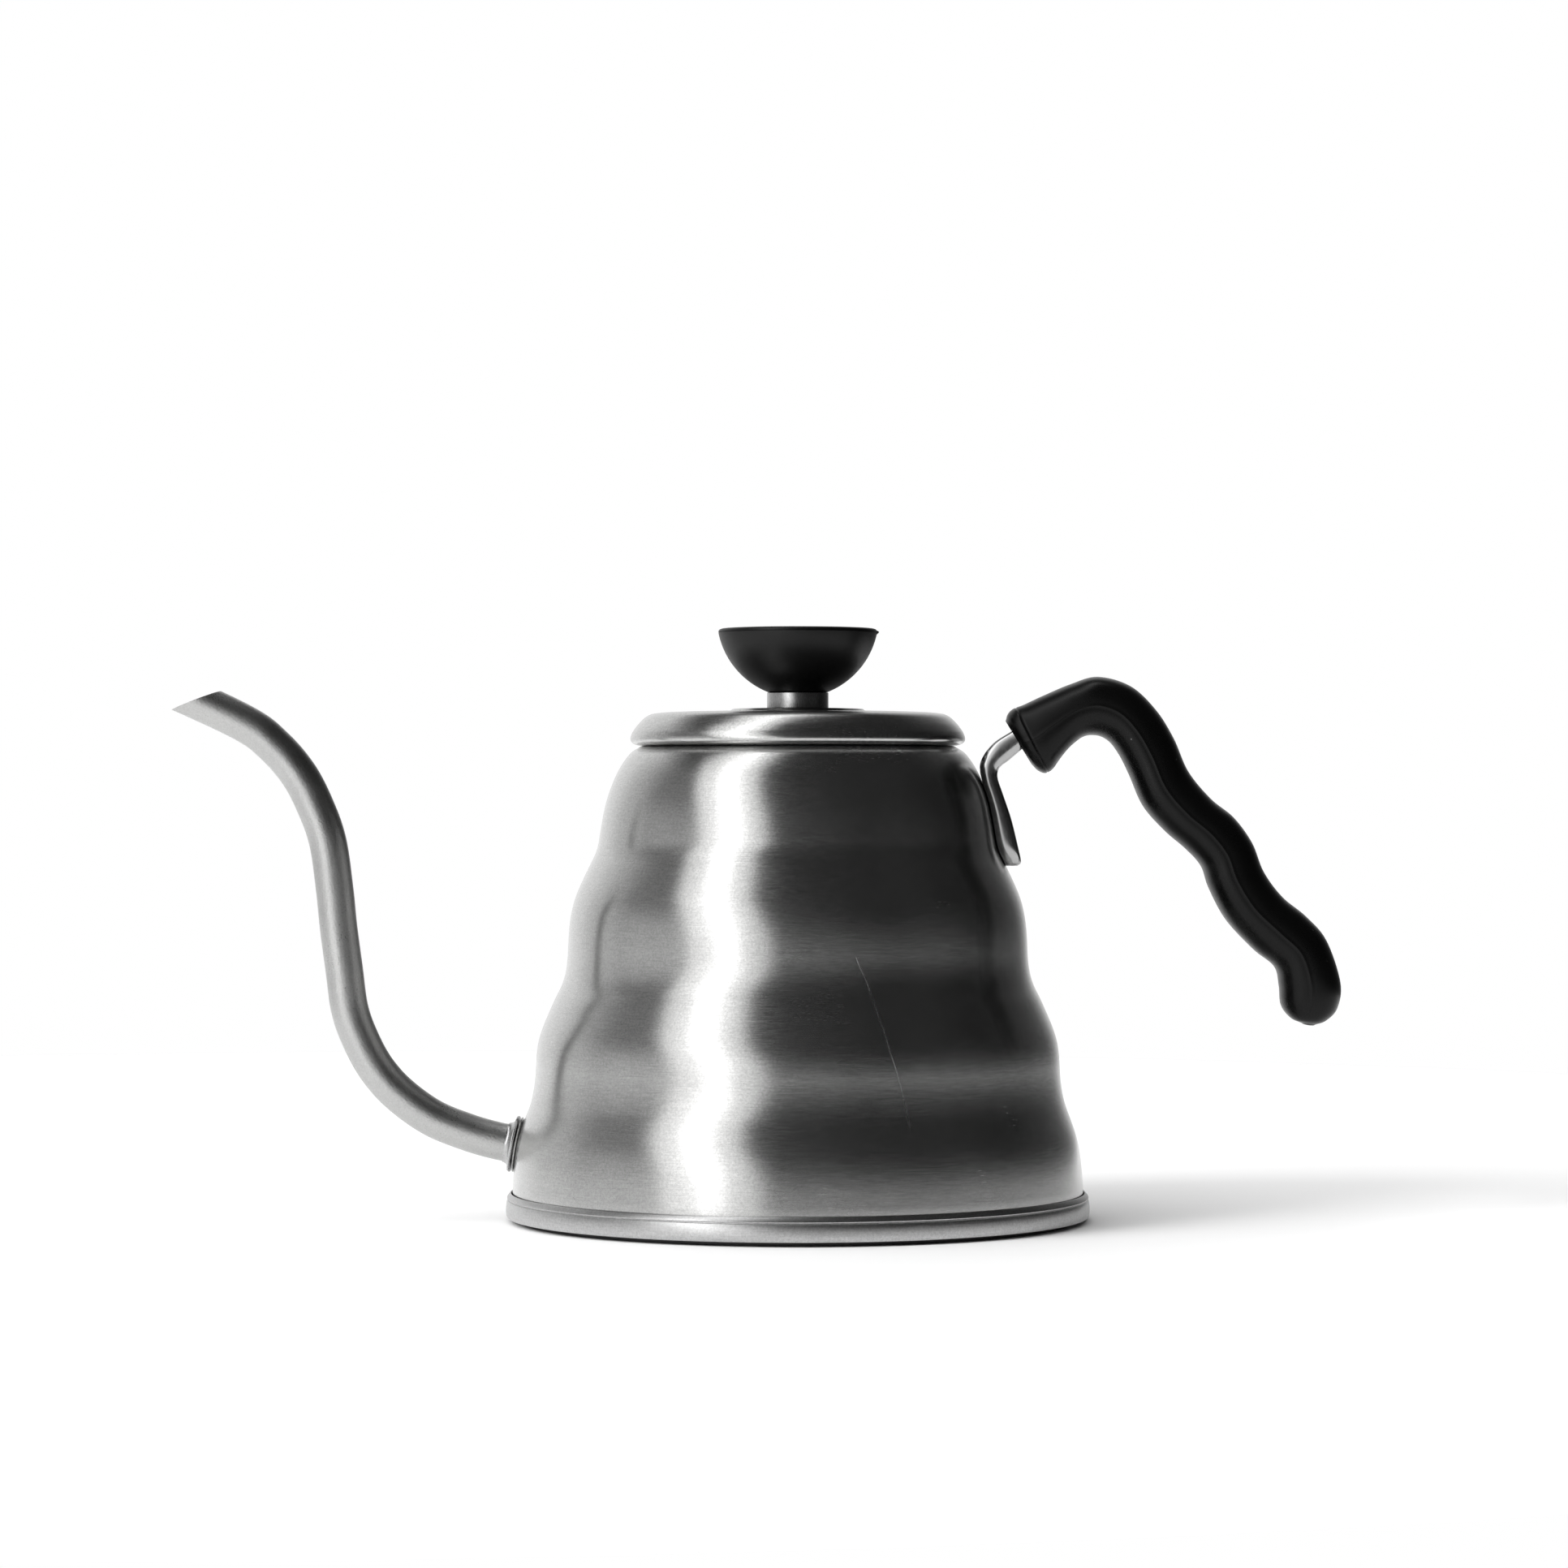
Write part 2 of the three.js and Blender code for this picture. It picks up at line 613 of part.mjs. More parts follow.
function knobCollar() {
  const bore = LID_SCREW.shank + CLEARANCE;
  const bevel = 0.2;
  return turned(
    [
      [bore, FIXING_GAP],
      [COLLAR_RADIUS - bevel, FIXING_GAP],
      [COLLAR_RADIUS, FIXING_GAP + bevel],
      [COLLAR_RADIUS, COLLAR_HEIGHT - bevel],
      [COLLAR_RADIUS - bevel, COLLAR_HEIGHT],
      [bore, COLLAR_HEIGHT],
    ],
    COLLAR_FACETS,
  );
}

// Bowl with a round underside, a rounded rim and a slightly dished top, and a pocket for the insert.
function knobShape() {
  const bottom = COLLAR_HEIGHT + FIXING_GAP;
  const bowl = [];
  const steps = 7;
  const startAngle = Math.acos((KNOB_SPHERE_Z - bottom) / KNOB_SPHERE);
  const endAngle = Math.acos((KNOB_SPHERE_Z - KNOB_RIM_Z) / KNOB_SPHERE);
  for (let i = 0; i <= steps; i++) {
    const angle = startAngle + ((endAngle - startAngle) * i) / steps;
    bowl.push([KNOB_SPHERE * Math.sin(angle), KNOB_SPHERE_Z - KNOB_SPHERE * Math.cos(angle)]);
  }
  const rimRadius = bowl.at(-1)[0];
  const pocket = INSERT_RADIUS + CLEARANCE;
  return turned(
    [
      [0, INSERT_TOP + CLEARANCE],
      [pocket, INSERT_TOP + CLEARANCE],
      [pocket, bottom],
      ...bowl,
      [rimRadius - 0.1, KNOB_RIM_Z + 0.5],
      [rimRadius - 0.45, KNOB_TOP_Z - 0.15],
      [rimRadius - 1.1, KNOB_TOP_Z],
      [rimRadius - 3, KNOB_TOP_Z - 0.2],
      [0, KNOB_TOP_Z - 0.4],
    ],
    KNOB_FACETS,
  );
}

function knobInsert() {
  const bore = LID_SCREW.shank + CLEARANCE;
  return ring(bore, INSERT_RADIUS, COLLAR_HEIGHT + CLEARANCE, INSERT_TOP, SMALL_FACETS);
}

// ------------------------------------------------------------------ assembly
const kettle = new THREE.Group();

kettle.add(
  toMesh("body_shell", bodyShell(), brushedSteel),
  toMesh("base_pan", basePan(), satinSteel),
  toMesh("base_disc", baseDisc(), footMetal),
  toMesh("spout_tube", spoutTube(), satinSteel),
  toMesh("handle_bracket", handleBracket(), polishedSteel),
  toMesh("handle_grip", handleGrip(), blackPlastic),
);

const spoutRoot = alongSpout(new THREE.Group());
spoutRoot.add(toMesh("spout_collar", spoutCollar(), satinSteel));
kettle.add(spoutRoot);

const gripFixing = onTang(new THREE.Group());
const gripScrew = toMesh("grip_screw", screw(GRIP_SCREW), plainSteel);
gripScrew.position.z = GRIP_SCREW_SEAT;
const gripWasher = toMesh("grip_washer", washerRing(GRIP_SCREW, GRIP_WASHER), plainSteel);
gripWasher.position.z = GRIP_SCREW_SEAT + CLEARANCE;
const gripNut = toMesh("grip_nut", gripNutShape(), plainSteel);
gripFixing.add(gripScrew, gripWasher, gripNut);
kettle.add(gripFixing);

// The washer hangs under the boss of the lid and the screw under the washer.
const lid = new THREE.Group();
lid.position.z = MOUTH_Z;
const knobWasher = toMesh("knob_washer", washerRing(LID_SCREW, LID_WASHER), plainSteel);
knobWasher.position.z = BOSS_TOP - LID_SHEET - FIXING_GAP - LID_WASHER.thickness;
const knobScrew = toMesh("knob_screw", screw(LID_SCREW), plainSteel);
knobScrew.position.z = knobWasher.position.z - FIXING_GAP;
lid.add(
  toMesh("lid_cover", lidCover(), brushedSteel),
  toMesh("lid_skirt", lidSkirt(), satinSteel),
  knobWasher,
  knobScrew,
);

const knobGroup = new THREE.Group();
knobGroup.position.z = BOSS_TOP;
knobGroup.add(
  toMesh("knob_collar", knobCollar(), polishedSteel),
  toMesh("knob", knobShape(), blackPlastic),
  toMesh("knob_insert", knobInsert(), brass),
);
lid.add(knobGroup);
kettle.add(lid);

export default kettle;
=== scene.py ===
"""Looks of the gooseneck kettle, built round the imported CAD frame.

Shapes are written in millimetres in the kettle's own frame (+Z up, spout to -X, handle to +X) and made in
metres. Every piece has the same dimensions as in the CAD, with finer surfaces, rolled edges and seams.
Materials are written in metres, because they read Blender's object coordinates.
"""

import math

import bmesh
import bpy
from mathutils import Matrix, Vector


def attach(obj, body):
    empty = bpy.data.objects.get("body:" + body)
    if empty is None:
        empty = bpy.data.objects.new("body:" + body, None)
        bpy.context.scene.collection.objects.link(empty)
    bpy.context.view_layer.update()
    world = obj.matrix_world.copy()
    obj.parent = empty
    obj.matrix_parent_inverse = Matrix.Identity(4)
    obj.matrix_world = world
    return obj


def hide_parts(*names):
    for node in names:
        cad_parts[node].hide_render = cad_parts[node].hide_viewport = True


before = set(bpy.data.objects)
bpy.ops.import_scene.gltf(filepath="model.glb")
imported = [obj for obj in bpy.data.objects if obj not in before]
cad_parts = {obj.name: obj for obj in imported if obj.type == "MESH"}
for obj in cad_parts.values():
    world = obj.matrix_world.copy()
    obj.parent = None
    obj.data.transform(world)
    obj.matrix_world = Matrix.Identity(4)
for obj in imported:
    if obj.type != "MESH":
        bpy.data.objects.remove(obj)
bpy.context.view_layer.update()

# ---------------- driving dimensions, in millimetres
MM = 0.001  # metres in a millimetre

ROUND_WIDE = 288  # facets round the body, base and lid
ROUND_KNOB = 320
ROUND_COLLAR = 192
ROUND_SMALL = 96  # facets round the neck and the washers
ROUND_HOLE = 48
CLEARANCE = 0.3  # between pieces that fit into or onto each other
SHEET = 0.8

BASE_RADIUS = 72
FOOT_RADIUS = 68.9
FOOT_HEIGHT = 1.7
PAN_FLOOR = 2.9
PAN_SHEET = 0.9
BAND_BOTTOM = 1.06
SEAM_TOP = 7
# Outside of the pan, as steps in from the base radius and heights: band, groove, then the rolled bead.
PAN_OUTSIDE = [
    (0.45, BAND_BOTTOM),
    (0.25, BAND_BOTTOM + 0.12),
    (0.08, 1.6),
    (0, 2.4),
    (0, 3.4),
    (0.06, 4.2),
    (0.18, 4.9),
    (0.32, 5.3),
    (0.5, 5.42),
    (0.52, 5.55),
    (0.3, 5.68),
    (0.25, 5.85),
    (0.34, 6.08),
    (0.62, 6.45),
    (0.92, 6.8),
    (1.06, SEAM_TOP - 0.05),
    (1.16, SEAM_TOP),
]
MOUTH_RADIUS = 37.6
MOUTH_Z = 117

# Wall of the body: radius, height, and lean (radius gained per millimetre of height).
WALL = [
    (70.4, 3.2, 0),
    (70.3, 9, -0.07),
    (68.95, 20, -0.24),
    (67.1, 25.6, -0.38),
    (65.75, 29.6, -0.25),
    (64.65, 38, -0.05),
    (64.15, 43.2, -0.17),
    (61.5, 51, -0.44),
    (59.1, 56.2, -0.53),
    (57.9, 58.9, -0.34),
    (56.72, 66.6, -0.04),
    (54.35, 81, -0.41),
    (50.6, 89, -0.5),
    (49.45, 91.9, -0.28),
    (48.85, 95.2, -0.16),
    (46.3, 106.3, -0.37),
    (42.4, 113.9, -0.75),
    (39.4, 116.5, -2),
]

SPOUT_ROOT = (-69.9, 18.3)
SPOUT_RISE = math.radians(10.4)
SPOUT_RADIUS = 4.65
SPOUT_SHEET = 0.7
SPOUT_BORE = SPOUT_RADIUS + CLEARANCE
SPOUT_LIP_RADIUS = 7.05
SPOUT_STARTS = (-3, 1, 5)  # straight part of the tube, as distances out from the seam
NECK_START = 11.6  # radius round the spout's axis at which the neck leaves the body's wall
NECK_ROOT = SPOUT_LIP_RADIUS - 0.75
NECK_LIP = 0.8  # length of the lip, back from the seam
NECK_BACK = 2.7  # how far back from the seam the bore goes
SPOUT_COLLAR_LENGTH = 2.5
SPOUT_COLLAR_BEAD = 0.42
SPOUT_COLLAR_FILLET = 1.55
SPOUT_LINE = [
    (-81.9, 21.2),
    (-90.8, 24.8),
    (-99, 30.6),
    (-104.7, 36.9),
    (-108.6, 43.9),
    (-111.4, 51.6),
    (-112.8, 61.5),
    (-114.2, 71.9),
    (-115.2, 81.5),
    (-116.9, 93.2),
    (-119.9, 101.8),
    (-124.1, 109.9),
    (-130.2, 117),
    (-138.2, 122.9),
    (-160, 133),
]
SPOUT_MOUTH_HIGH = (-143.2, 130.9)
SPOUT_MOUTH_LOW = (-155.8, 126.1)

BRACKET_WIDTH = 12
WELD_GAP = 0.05  # between the bracket and the body, where they are welded
WELD_TOP = 107  # height up to which the bracket lies on the body
WELD_FREE = 111  # height from which the bracket is clear of the body
BRACKET_ROUNDING = 1.55  # how far the rounded edges of the bar reach in
# Bar of the bracket: inner face x and z, outer face x and z, half the width.
BRACKET_LINE = [
    (52.2, 87.5, 54.4, 87.5, 3.4),
    (51.4, 88.3, 55.1, 88.5, 4.3),
    (50.2, 91.2, 54.4, 92, 5.5),
    (48.9, 98, 52.7, 99, 6),
    (47.4, 104.4, 50.7, 105, 6),
    (45.9, 108.6, 49.4, 108.9, 6),
    (45, 111.6, 49.5, 111, 6),
    (45.8, 114.4, 50.5, 112.3, 6),
    (48.4, 117.7, 51.9, 113.3, 6),
    (52.5, 120.4, 55.3, 116.2, 6),
]
TANG_THICKNESS = 4.4
TANG_SLOPE = math.radians(35.4)
TANG_REACH = 5.5
SCREW_CROSSING = (61.2, 123.7)

# Grip: outer edge x and z, inner edge x and z, half the width.
GRIP_LINE = [
    (51.3, 123.1, 57.7, 112.5, 6.6),
    (51.9, 124.9, 59.3, 110.9, 8),
    (53.3, 126.2, 61.2, 110.3, 8.7),
    (55.7, 127.1, 63, 111.4, 9),
    (60.2, 129.2, 65, 114.1, 9.2),
    (67.3, 132.2, 69.6, 118.8, 9.4),
    (74, 134, 73.4, 119.6, 9.6),
    (82, 131.7, 76.6, 118.2, 9.8),
    (88.2, 125.9, 79.2, 114.8, 10),
    (92.6, 118.9, 81.6, 110, 10.1),
    (96.2, 110.7, 85, 102.3, 10.2),
    (101.7, 104, 90.3, 96.2, 10.3),
    (107.3, 99.4, 95.6, 91.6, 10.4),
    (111.8, 93.2, 99.3, 87.4, 10.4),
    (114.7, 86, 101.2, 82, 10.4),
    (119.2, 79.9, 105.4, 74.2, 10.4),
    (125, 75.1, 112.1, 67, 10.4),
    (130, 69.2, 117.2, 62.8, 10.2),
    (133.4, 59, 118.4, 58.2, 9.9),
    (132.7, 52.7, 118.9, 53.3, 9.2),
    (130, 49.6, 121.2, 50.2, 7.4),
    (127.2, 48.5, 124, 48.9, 4),
]
GRIP_SQUARENESS = 2.6  # 2 would be an ellipse
GRIP_SOCKET = 30
GRIP_LIP_GROOVE = 0.16  # depth of the line between the front lip and the rest
MOULD_LINE_WIDTH = 0.14
MOULD_LINE_PROUD = 0.05

# Lid, measured up from the top of the mouth.
LID_SHEET = 0.7
LID_RADIUS = 41.35
BOSS_TOP = 9.2
BOSS_RADIUS = 17
BOSS_EDGE = [
    (BOSS_RADIUS - 1.25, BOSS_TOP),
    (BOSS_RADIUS - 0.8, BOSS_TOP - 0.1),
    (BOSS_RADIUS - 0.4, BOSS_TOP - 0.45),
    (BOSS_RADIUS, BOSS_TOP - 0.65),
    (BOSS_RADIUS + 1, BOSS_TOP - 0.68),
]
LID_OUTSIDE = [
    (22, BOSS_TOP - 0.7),
    (27, BOSS_TOP - 0.76),
    (31, BOSS_TOP - 0.88),
    (33.5, BOSS_TOP - 1),
    (35.2, BOSS_TOP - 1.2),
    (36.4, 7.75),
    (37.8, 6.95),
    (39.5, 5.25),
    (40.6, 3.75),
    (41.05, 2.9),
    (LID_RADIUS, 1.9),
    (41.2, 1.1),
    (40.5, 0.45),
    (39.4, 0.12),
    (38.7, 0.12),
]
LID_INSIDE = [
    (38.5, 0.85),
    (39.7, 1.1),
    (40.3, 2),
    (39.9, 2.9),
    (38.2, 5.2),
    (36.4, 6.7),
    (33.3, BOSS_TOP - 1 - LID_SHEET),
    (26, BOSS_TOP - 0.75 - LID_SHEET),
    (BOSS_RADIUS - 0.3, BOSS_TOP - 0.65 - LID_SHEET),
    (BOSS_RADIUS - 1.6, BOSS_TOP - LID_SHEET),
]
SKIRT_RADIUS = 36.9
SKIRT_DEPTH = 13
VENT_RADIUS = 1.5
VENT_PLACE = 24

# Knob, measured up from the top of the boss.
KNOB_BASE = MOUTH_Z + BOSS_TOP
KNOB_COLLAR_RADIUS = 7.6
KNOB_COLLAR_HEIGHT = 4
KNOB_SPHERE = 20
KNOB_SPHERE_Z = 22.7
KNOB_RIM_Z = 18.8
KNOB_TOP_Z = 19.8
INSERT_RADIUS = 3
INSERT_TOP = 12.6

LID_SCREW = {"shank": 2, "head": 4, "head_height": 2.2, "length": 12.5}
LID_WASHER = {"radius": 5, "thickness": 0.8}
GRIP_SCREW = {"shank": 1.5, "head": 3}
GRIP_SCREW_SEAT = -5.6
GRIP_WASHER_THICKNESS = 0.6
FIXING_GAP = 0.1  # under screw heads, washers and the knob


# ---------------- curves
def catmull_rom(knots, per_span):
    """Points of a smooth curve through knots of any number of coordinates."""
    first = tuple(2 * a - b for a, b in zip(knots[0], knots[1]))
    last = tuple(2 * a - b for a, b in zip(knots[-1], knots[-2]))
    padded = [first, *knots, last]
    points = []
    for k in range(1, len(padded) - 2):
        for i in range(per_span):
            points.append(span_point(padded[k - 1 : k + 3], i / per_span))
    points.append(tuple(knots[-1]))
    return points


def span_point(four, t):
    """Point at t between the middle two of four neighbouring knots."""
    point = []
    for a, b, c, d in zip(*four):
        slope_b = (c - a) / 2
        slope_c = (d - b) / 2
        cubic = 2 * b - 2 * c + slope_b + slope_c
        square = 3 * c - 3 * b - 2 * slope_b - slope_c
        point.append(((cubic * t + square) * t + slope_b) * t + b)
    return tuple(point)


def angles_round(count):
    """Angles of equal steps once round a circle."""
    return [2 * math.pi * i / count for i in range(count)]


def arc(centre, radius, start, end, steps):
    """Points of an arc in a (radius, height) profile, between two angles in degrees."""
    points = []
    for i in range(steps + 1):
        angle = math.radians(start + (end - start) * i / steps)
        points.append((centre[0] + radius * math.cos(angle), centre[1] + radius * math.sin(angle)))
    return points


def bezier(a, b, c, d, steps):
    """Points of a cubic Bezier curve in a (radius, height) profile."""
    points = []
    for i in range(steps + 1):
        t = i / steps
        u = 1 - t
        weights = (u**3, 3 * u * u * t, 3 * u * t * t, t**3)
        pulls = list(zip(weights, (a, b, c, d)))
        points.append(tuple(sum(w * p[axis] for w, p in pulls) for axis in (0, 1)))
    return points


def wall_radius(z):
    """Outside radius of the body at a height."""
    for (r0, z0, lean0), (r1, z1, lean1) in zip(WALL, WALL[1:]):
        if z <= z1:
            break
    rise = z1 - z0
    t = min(max((z - z0) / rise, 0), 1)
    blend = t * t * (3 - 2 * t)
    return r0 + (r1 - r0) * blend + rise * t * (1 - t) * ((1 - t) * lean0 - t * lean1)


def inset(profile, thickness):
    """The same profile moved towards the axis by a sheet's thickness, square to the wall."""
    moved = []
    last = len(profile) - 1
    for i, (r, z) in enumerate(profile):
        r0, z0 = profile[max(i - 1, 0)]
        r1, z1 = profile[min(i + 1, last)]
        length = math.hypot(r1 - r0, z1 - z0)
        moved.append((r - thickness * (z1 - z0) / length, z + thickness * (r1 - r0) / length))
    return moved


# ---------------- meshes
def make_object(name, points, faces, material):
    """A mesh object from points in millimetres."""
    mesh = bpy.data.meshes.new(name)
    mesh.from_pydata([(x * MM, y * MM, z * MM) for x, y, z in points], [], faces)
    mesh.validate()
    obj = bpy.data.objects.new(name, mesh)
    bpy.context.scene.collection.objects.link(obj)
    mesh.materials.append(material)
    return obj


def shade(mesh, sharp_degrees=35):
    """Smooth shading, apart from edges sharper than an angle."""
    mesh.shade_smooth()
    mesh.set_sharp_from_angle(angle=math.radians(sharp_degrees))


def make_solid(name, points, faces, material, sharp_degrees=35):
    """A closed mesh object, with all its faces pointing out."""
    obj = make_object(name, points, faces, material)
    outward(obj)
    shade(obj.data, sharp_degrees)
    return obj


def joined_grid(rings, closed):
    """Faces between rings of equally many points, and round to the first ring again if closed."""
    count = len(rings[0])
    points = [p for ring in rings for p in ring]
    faces = []
    for k in range(len(rings) if closed else len(rings) - 1):
        after = (k + 1) % len(rings)
        for i in range(count):
            j = (i + 1) % count
            faces.append((k * count + i, k * count + j, after * count + j, after * count + i))
    return points, faces


def outward(obj):
    """Turns every face of a closed mesh so that it points out."""
    bm = bmesh.new()
    bm.from_mesh(obj.data)
    bmesh.ops.remove_doubles(bm, verts=bm.verts, dist=1e-7)
    bmesh.ops.recalc_face_normals(bm, faces=bm.faces)
    bm.to_mesh(obj.data)
    bm.free()


def turned(name, profile, material, facets=ROUND_WIDE, sharp_degrees=35):
    """A solid turned about Z. The profile runs from axis to axis, or is closed into a ring."""
    on_axis = profile[0][0] == 0
    inner = profile[1:-1] if on_axis else profile
    rings = []
    for r, z in inner:
        rings.append([(r * math.cos(a), r * math.sin(a), z) for a in angles_round(facets)])
    points, faces = joined_grid(rings, closed=not on_axis)
    if on_axis:
        cap(points, faces, 0, facets, (0, 0, profile[0][1]))
        cap(points, faces, len(points) - 1 - facets, facets, (0, 0, profile[-1][1]))
    return make_solid(name, points, faces, material, sharp_degrees)


def cap(points, faces, start, count, tip):
    """Closes a ring of points with a fan to a tip."""
    points.append(tip)
    top = len(points) - 1
    for i in range(count):
        faces.append((start + i, start + (i + 1) % count, top))


def lofted(name, rings, material, sharp_degrees=35):
    """A closed solid through rings of points, with a fan at both ends."""
    points, faces = joined_grid(rings, closed=False)
    count = len(rings[0])
    last = (len(rings) - 1) * count
    for start in (0, last):
        ring = points[start : start + count]
        middle = tuple(sum(p[axis] for p in ring) / count for axis in range(3))
        cap(points, faces, start, count, middle)
    return make_solid(name, points, faces, material, sharp_degrees)


def cut(obj, cutter, where=Matrix(), sharp_degrees=35):
    """Takes a solid away from an object, at the solid's place, and removes the solid."""
    cutter.data.transform(where)
    modifier = obj.modifiers.new("cut", "BOOLEAN")
    modifier.object = cutter
    modifier.operation = "DIFFERENCE"
    modifier.solver = "EXACT"
    graph = bpy.context.evaluated_depsgraph_get()
    mesh = bpy.data.meshes.new_from_object(obj.evaluated_get(graph))
    obj.modifiers.clear()
    obj.data = mesh
    shade(mesh, sharp_degrees)
    bpy.data.objects.remove(cutter)


def join(obj, other):
    """Adds another object's mesh to an object."""
    bm = bmesh.new()
    bm.from_mesh(obj.data)
    bm.from_mesh(other.data)
    bm.to_mesh(obj.data)
    bm.free()
    bpy.data.objects.remove(other)


def drill(radius, start, end, facets=ROUND_HOLE):
    """A plain cylinder along Z, to cut a hole with."""
    return turned("hole", [(0, start), (radius, start), (radius, end), (0, end)], inner_metal, facets)


def lift(obj, height):
    obj.data.transform(Matrix.Translation((0, 0, height * MM)))
    return obj


def spout_frame():
    """Turns +Z into the direction of the spout's root, at the seam."""
    turn = Matrix.Rotation(SPOUT_RISE - math.pi / 2, 4, "Y")
    return Matrix.Translation((SPOUT_ROOT[0] * MM, 0, SPOUT_ROOT[1] * MM)) @ turn


def tang_frame():
    """Turns +X into the direction of the tang and +Z into that of the screw."""
    turn = Matrix.Rotation(-TANG_SLOPE, 4, "Y")
    return Matrix.Translation((SCREW_CROSSING[0] * MM, 0, SCREW_CROSSING[1] * MM)) @ turn


def place(obj, body, slot, *nodes):
    """Makes an object a piece of the kettle that stands for its CAD nodes."""
    obj.name = nodes[0] + "_surface"
    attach(obj, body)
    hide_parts(*nodes)


# ---------------- material helpers
def new_material(name):
    material = bpy.data.materials.new(name)
    material.use_nodes = True
    tree = material.node_tree
    return material, tree, tree.nodes["Principled BSDF"]


def feed(tree, socket, value):
    """Sets an input to a number or a colour, or links it to another socket."""
    if isinstance(value, bpy.types.NodeSocket):
        tree.links.new(value, socket)
    else:
        socket.default_value = value


def fill(tree, node, *values, **named):
    """Feeds a node's inputs, in order or by name."""
    for key, value in [*enumerate(values), *named.items()]:
        feed(tree, node.inputs[key if isinstance(key, int) else key.replace("_", " ")], value)


def add_node(tree, kind, *values, **named):
    """A new shader node with its inputs filled."""
    node = tree.nodes.new("ShaderNode" + kind)
    fill(tree, node, *values, **named)
    return node


def math_node(tree, operation, *values):
    node = add_node(tree, "Math", *values)
    node.operation = operation
    return node.outputs[0]


def plus(tree, a, b):
    return math_node(tree, "ADD", a, b)


def minus(tree, a, b):
    return math_node(tree, "SUBTRACT", a, b)


def times(tree, a, b):
    return math_node(tree, "MULTIPLY", a, b)


def map_range(tree, value, source, target):
    """Moves a value from one pair of levels to another, and stops at both ends."""
    return add_node(tree, "MapRange", value, *source, *target).outputs["Result"]


def coordinates(tree):
    return add_node(tree, "TexCoord").outputs["Object"]


def split(tree, vector):
    """The x, y and z of a vector."""
    return add_node(tree, "SeparateXYZ", vector).outputs


def noise(tree, scale, detail, roughness=0.5, vector=None):
    """A noise from 0 to 1, in object coordinates where no others are given."""
    vector = vector or coordinates(tree)
    node = add_node(tree, "TexNoise", Scale=scale, Detail=detail, Roughness=roughness, Vector=vector)
    return node.outputs["Fac"]


def cells(tree, scale):
    """A Voronoi pattern: distances from the middle of each cell, and a colour for each cell."""
    node = add_node(tree, "TexVoronoi", Scale=scale, Vector=coordinates(tree))
    return node.outputs["Distance"], node.outputs["Color"]


def shades(colour, low, high):
    """A darker and a lighter shade of a colour."""
    return tuple((*(c * level for c in colour[:3]), 1) for level in (low, high))


def mix_colour(tree, factor, low, high):
    """A mix of two colours or sockets."""
    node = add_node(tree, "Mix", factor)
    node.data_type = "RGBA"
    feed(tree, node.inputs[6], low)
    feed(tree, node.inputs[7], high)
    return node.outputs[2]


def bump(tree, bsdf, height, distance):
    """Relief of a height, a noise from 0 to 1, that is a distance deep in metres."""
    node = add_node(tree, "Bump", Strength=1, Distance=distance, Height=height)
    fill(tree, bsdf, Normal=node.outputs["Normal"])


STROKE_RADIUS = 0.055  # middle radius of the body, at which strokes have their stated length


def round_coordinates(tree, along, across):
    """Object coordinates wound round Z: strokes `along` metres long and `across` metres wide."""
    x, y, z = split(tree, coordinates(tree))
    angle = math_node(tree, "ARCTAN2", y, x)
    radius = math_node(tree, "SQRT", plus(tree, times(tree, x, x), times(tree, y, y)))
    wound = add_node(
        tree,
        "CombineXYZ",
        times(tree, angle, STROKE_RADIUS / along),
        times(tree, z, 1 / across),
        times(tree, radius, 1 / across),
    )
    return wound.outputs[0]


def radial_tangent(tree, bsdf):
    tangent = add_node(tree, "Tangent")
    tangent.direction_type = "RADIAL"
    tangent.axis = "Z"
    fill(tree, bsdf, Tangent=tangent.outputs[0])


def specks(tree, density, size, rarity):
    """Small dots in a few of the cells of a pattern, as a mask."""
    distance, colour = cells(tree, density)
    dot = map_range(tree, distance, (size * 0.4, size), (1, 0))
    red = add_node(tree, "SeparateColor", colour).outputs[0]
    return times(tree, dot, math_node(tree, "GREATER_THAN", red, 1 - rarity))


# The scratch on the body, in metres. It runs down from a height along a slanting, slightly bent line.
SCRATCH_TOP = 0.0664
SCRATCH_START_X = 0.0165
SCRATCH_SLANT = 0.44
SCRATCH_BEND = -2.9
SCRATCH_LENGTH = 0.039
SCRATCH_FADES = 0.025  # how far down it gets fainter
SCRATCH_WANDER = 0.0004
SCRATCH_EDGE = (0.00004, 0.00012)  # distances from its middle at which it begins and ends to fade


def long_scratch(tree):
    """One fine scratch down the front of the body, as a mask."""
    x, y, z = split(tree, coordinates(tree))
    down = minus(tree, SCRATCH_TOP, z)
    straight = times(tree, down, SCRATCH_SLANT)
    bend = times(tree, times(tree, down, down), SCRATCH_BEND)
    line = plus(tree, plus(tree, straight, bend), SCRATCH_START_X)
    drift = noise(tree, scale=120, detail=1)
    wander = map_range(tree, drift, (0, 1), (-SCRATCH_WANDER, SCRATCH_WANDER))
    away = minus(tree, plus(tree, x, wander), line)
    gaps = noise(tree, scale=260, detail=2)
    mask = map_range(tree, math_node(tree, "ABSOLUTE", away), SCRATCH_EDGE, (0.8, 0))
    for part in (
        map_range(tree, down, (-0.0005, 0.0005), (0, 1)),
        map_range(tree, down, (SCRATCH_LENGTH - 0.001, SCRATCH_LENGTH + 0.001), (1, 0)),
        map_range(tree, down, (SCRATCH_FADES - 0.002, SCRATCH_FADES + 0.002), (1, 0.35)),
        math_node(tree, "LESS_THAN", y, 0),
        map_range(tree, gaps, (0.4, 0.6), (0.35, 1)),
    ):
        mask = times(tree, mask, part)
    return mask


# Levels between which nearly all of a noise lies, so that its full contrast is used.
NOISE = (0.3, 0.7)


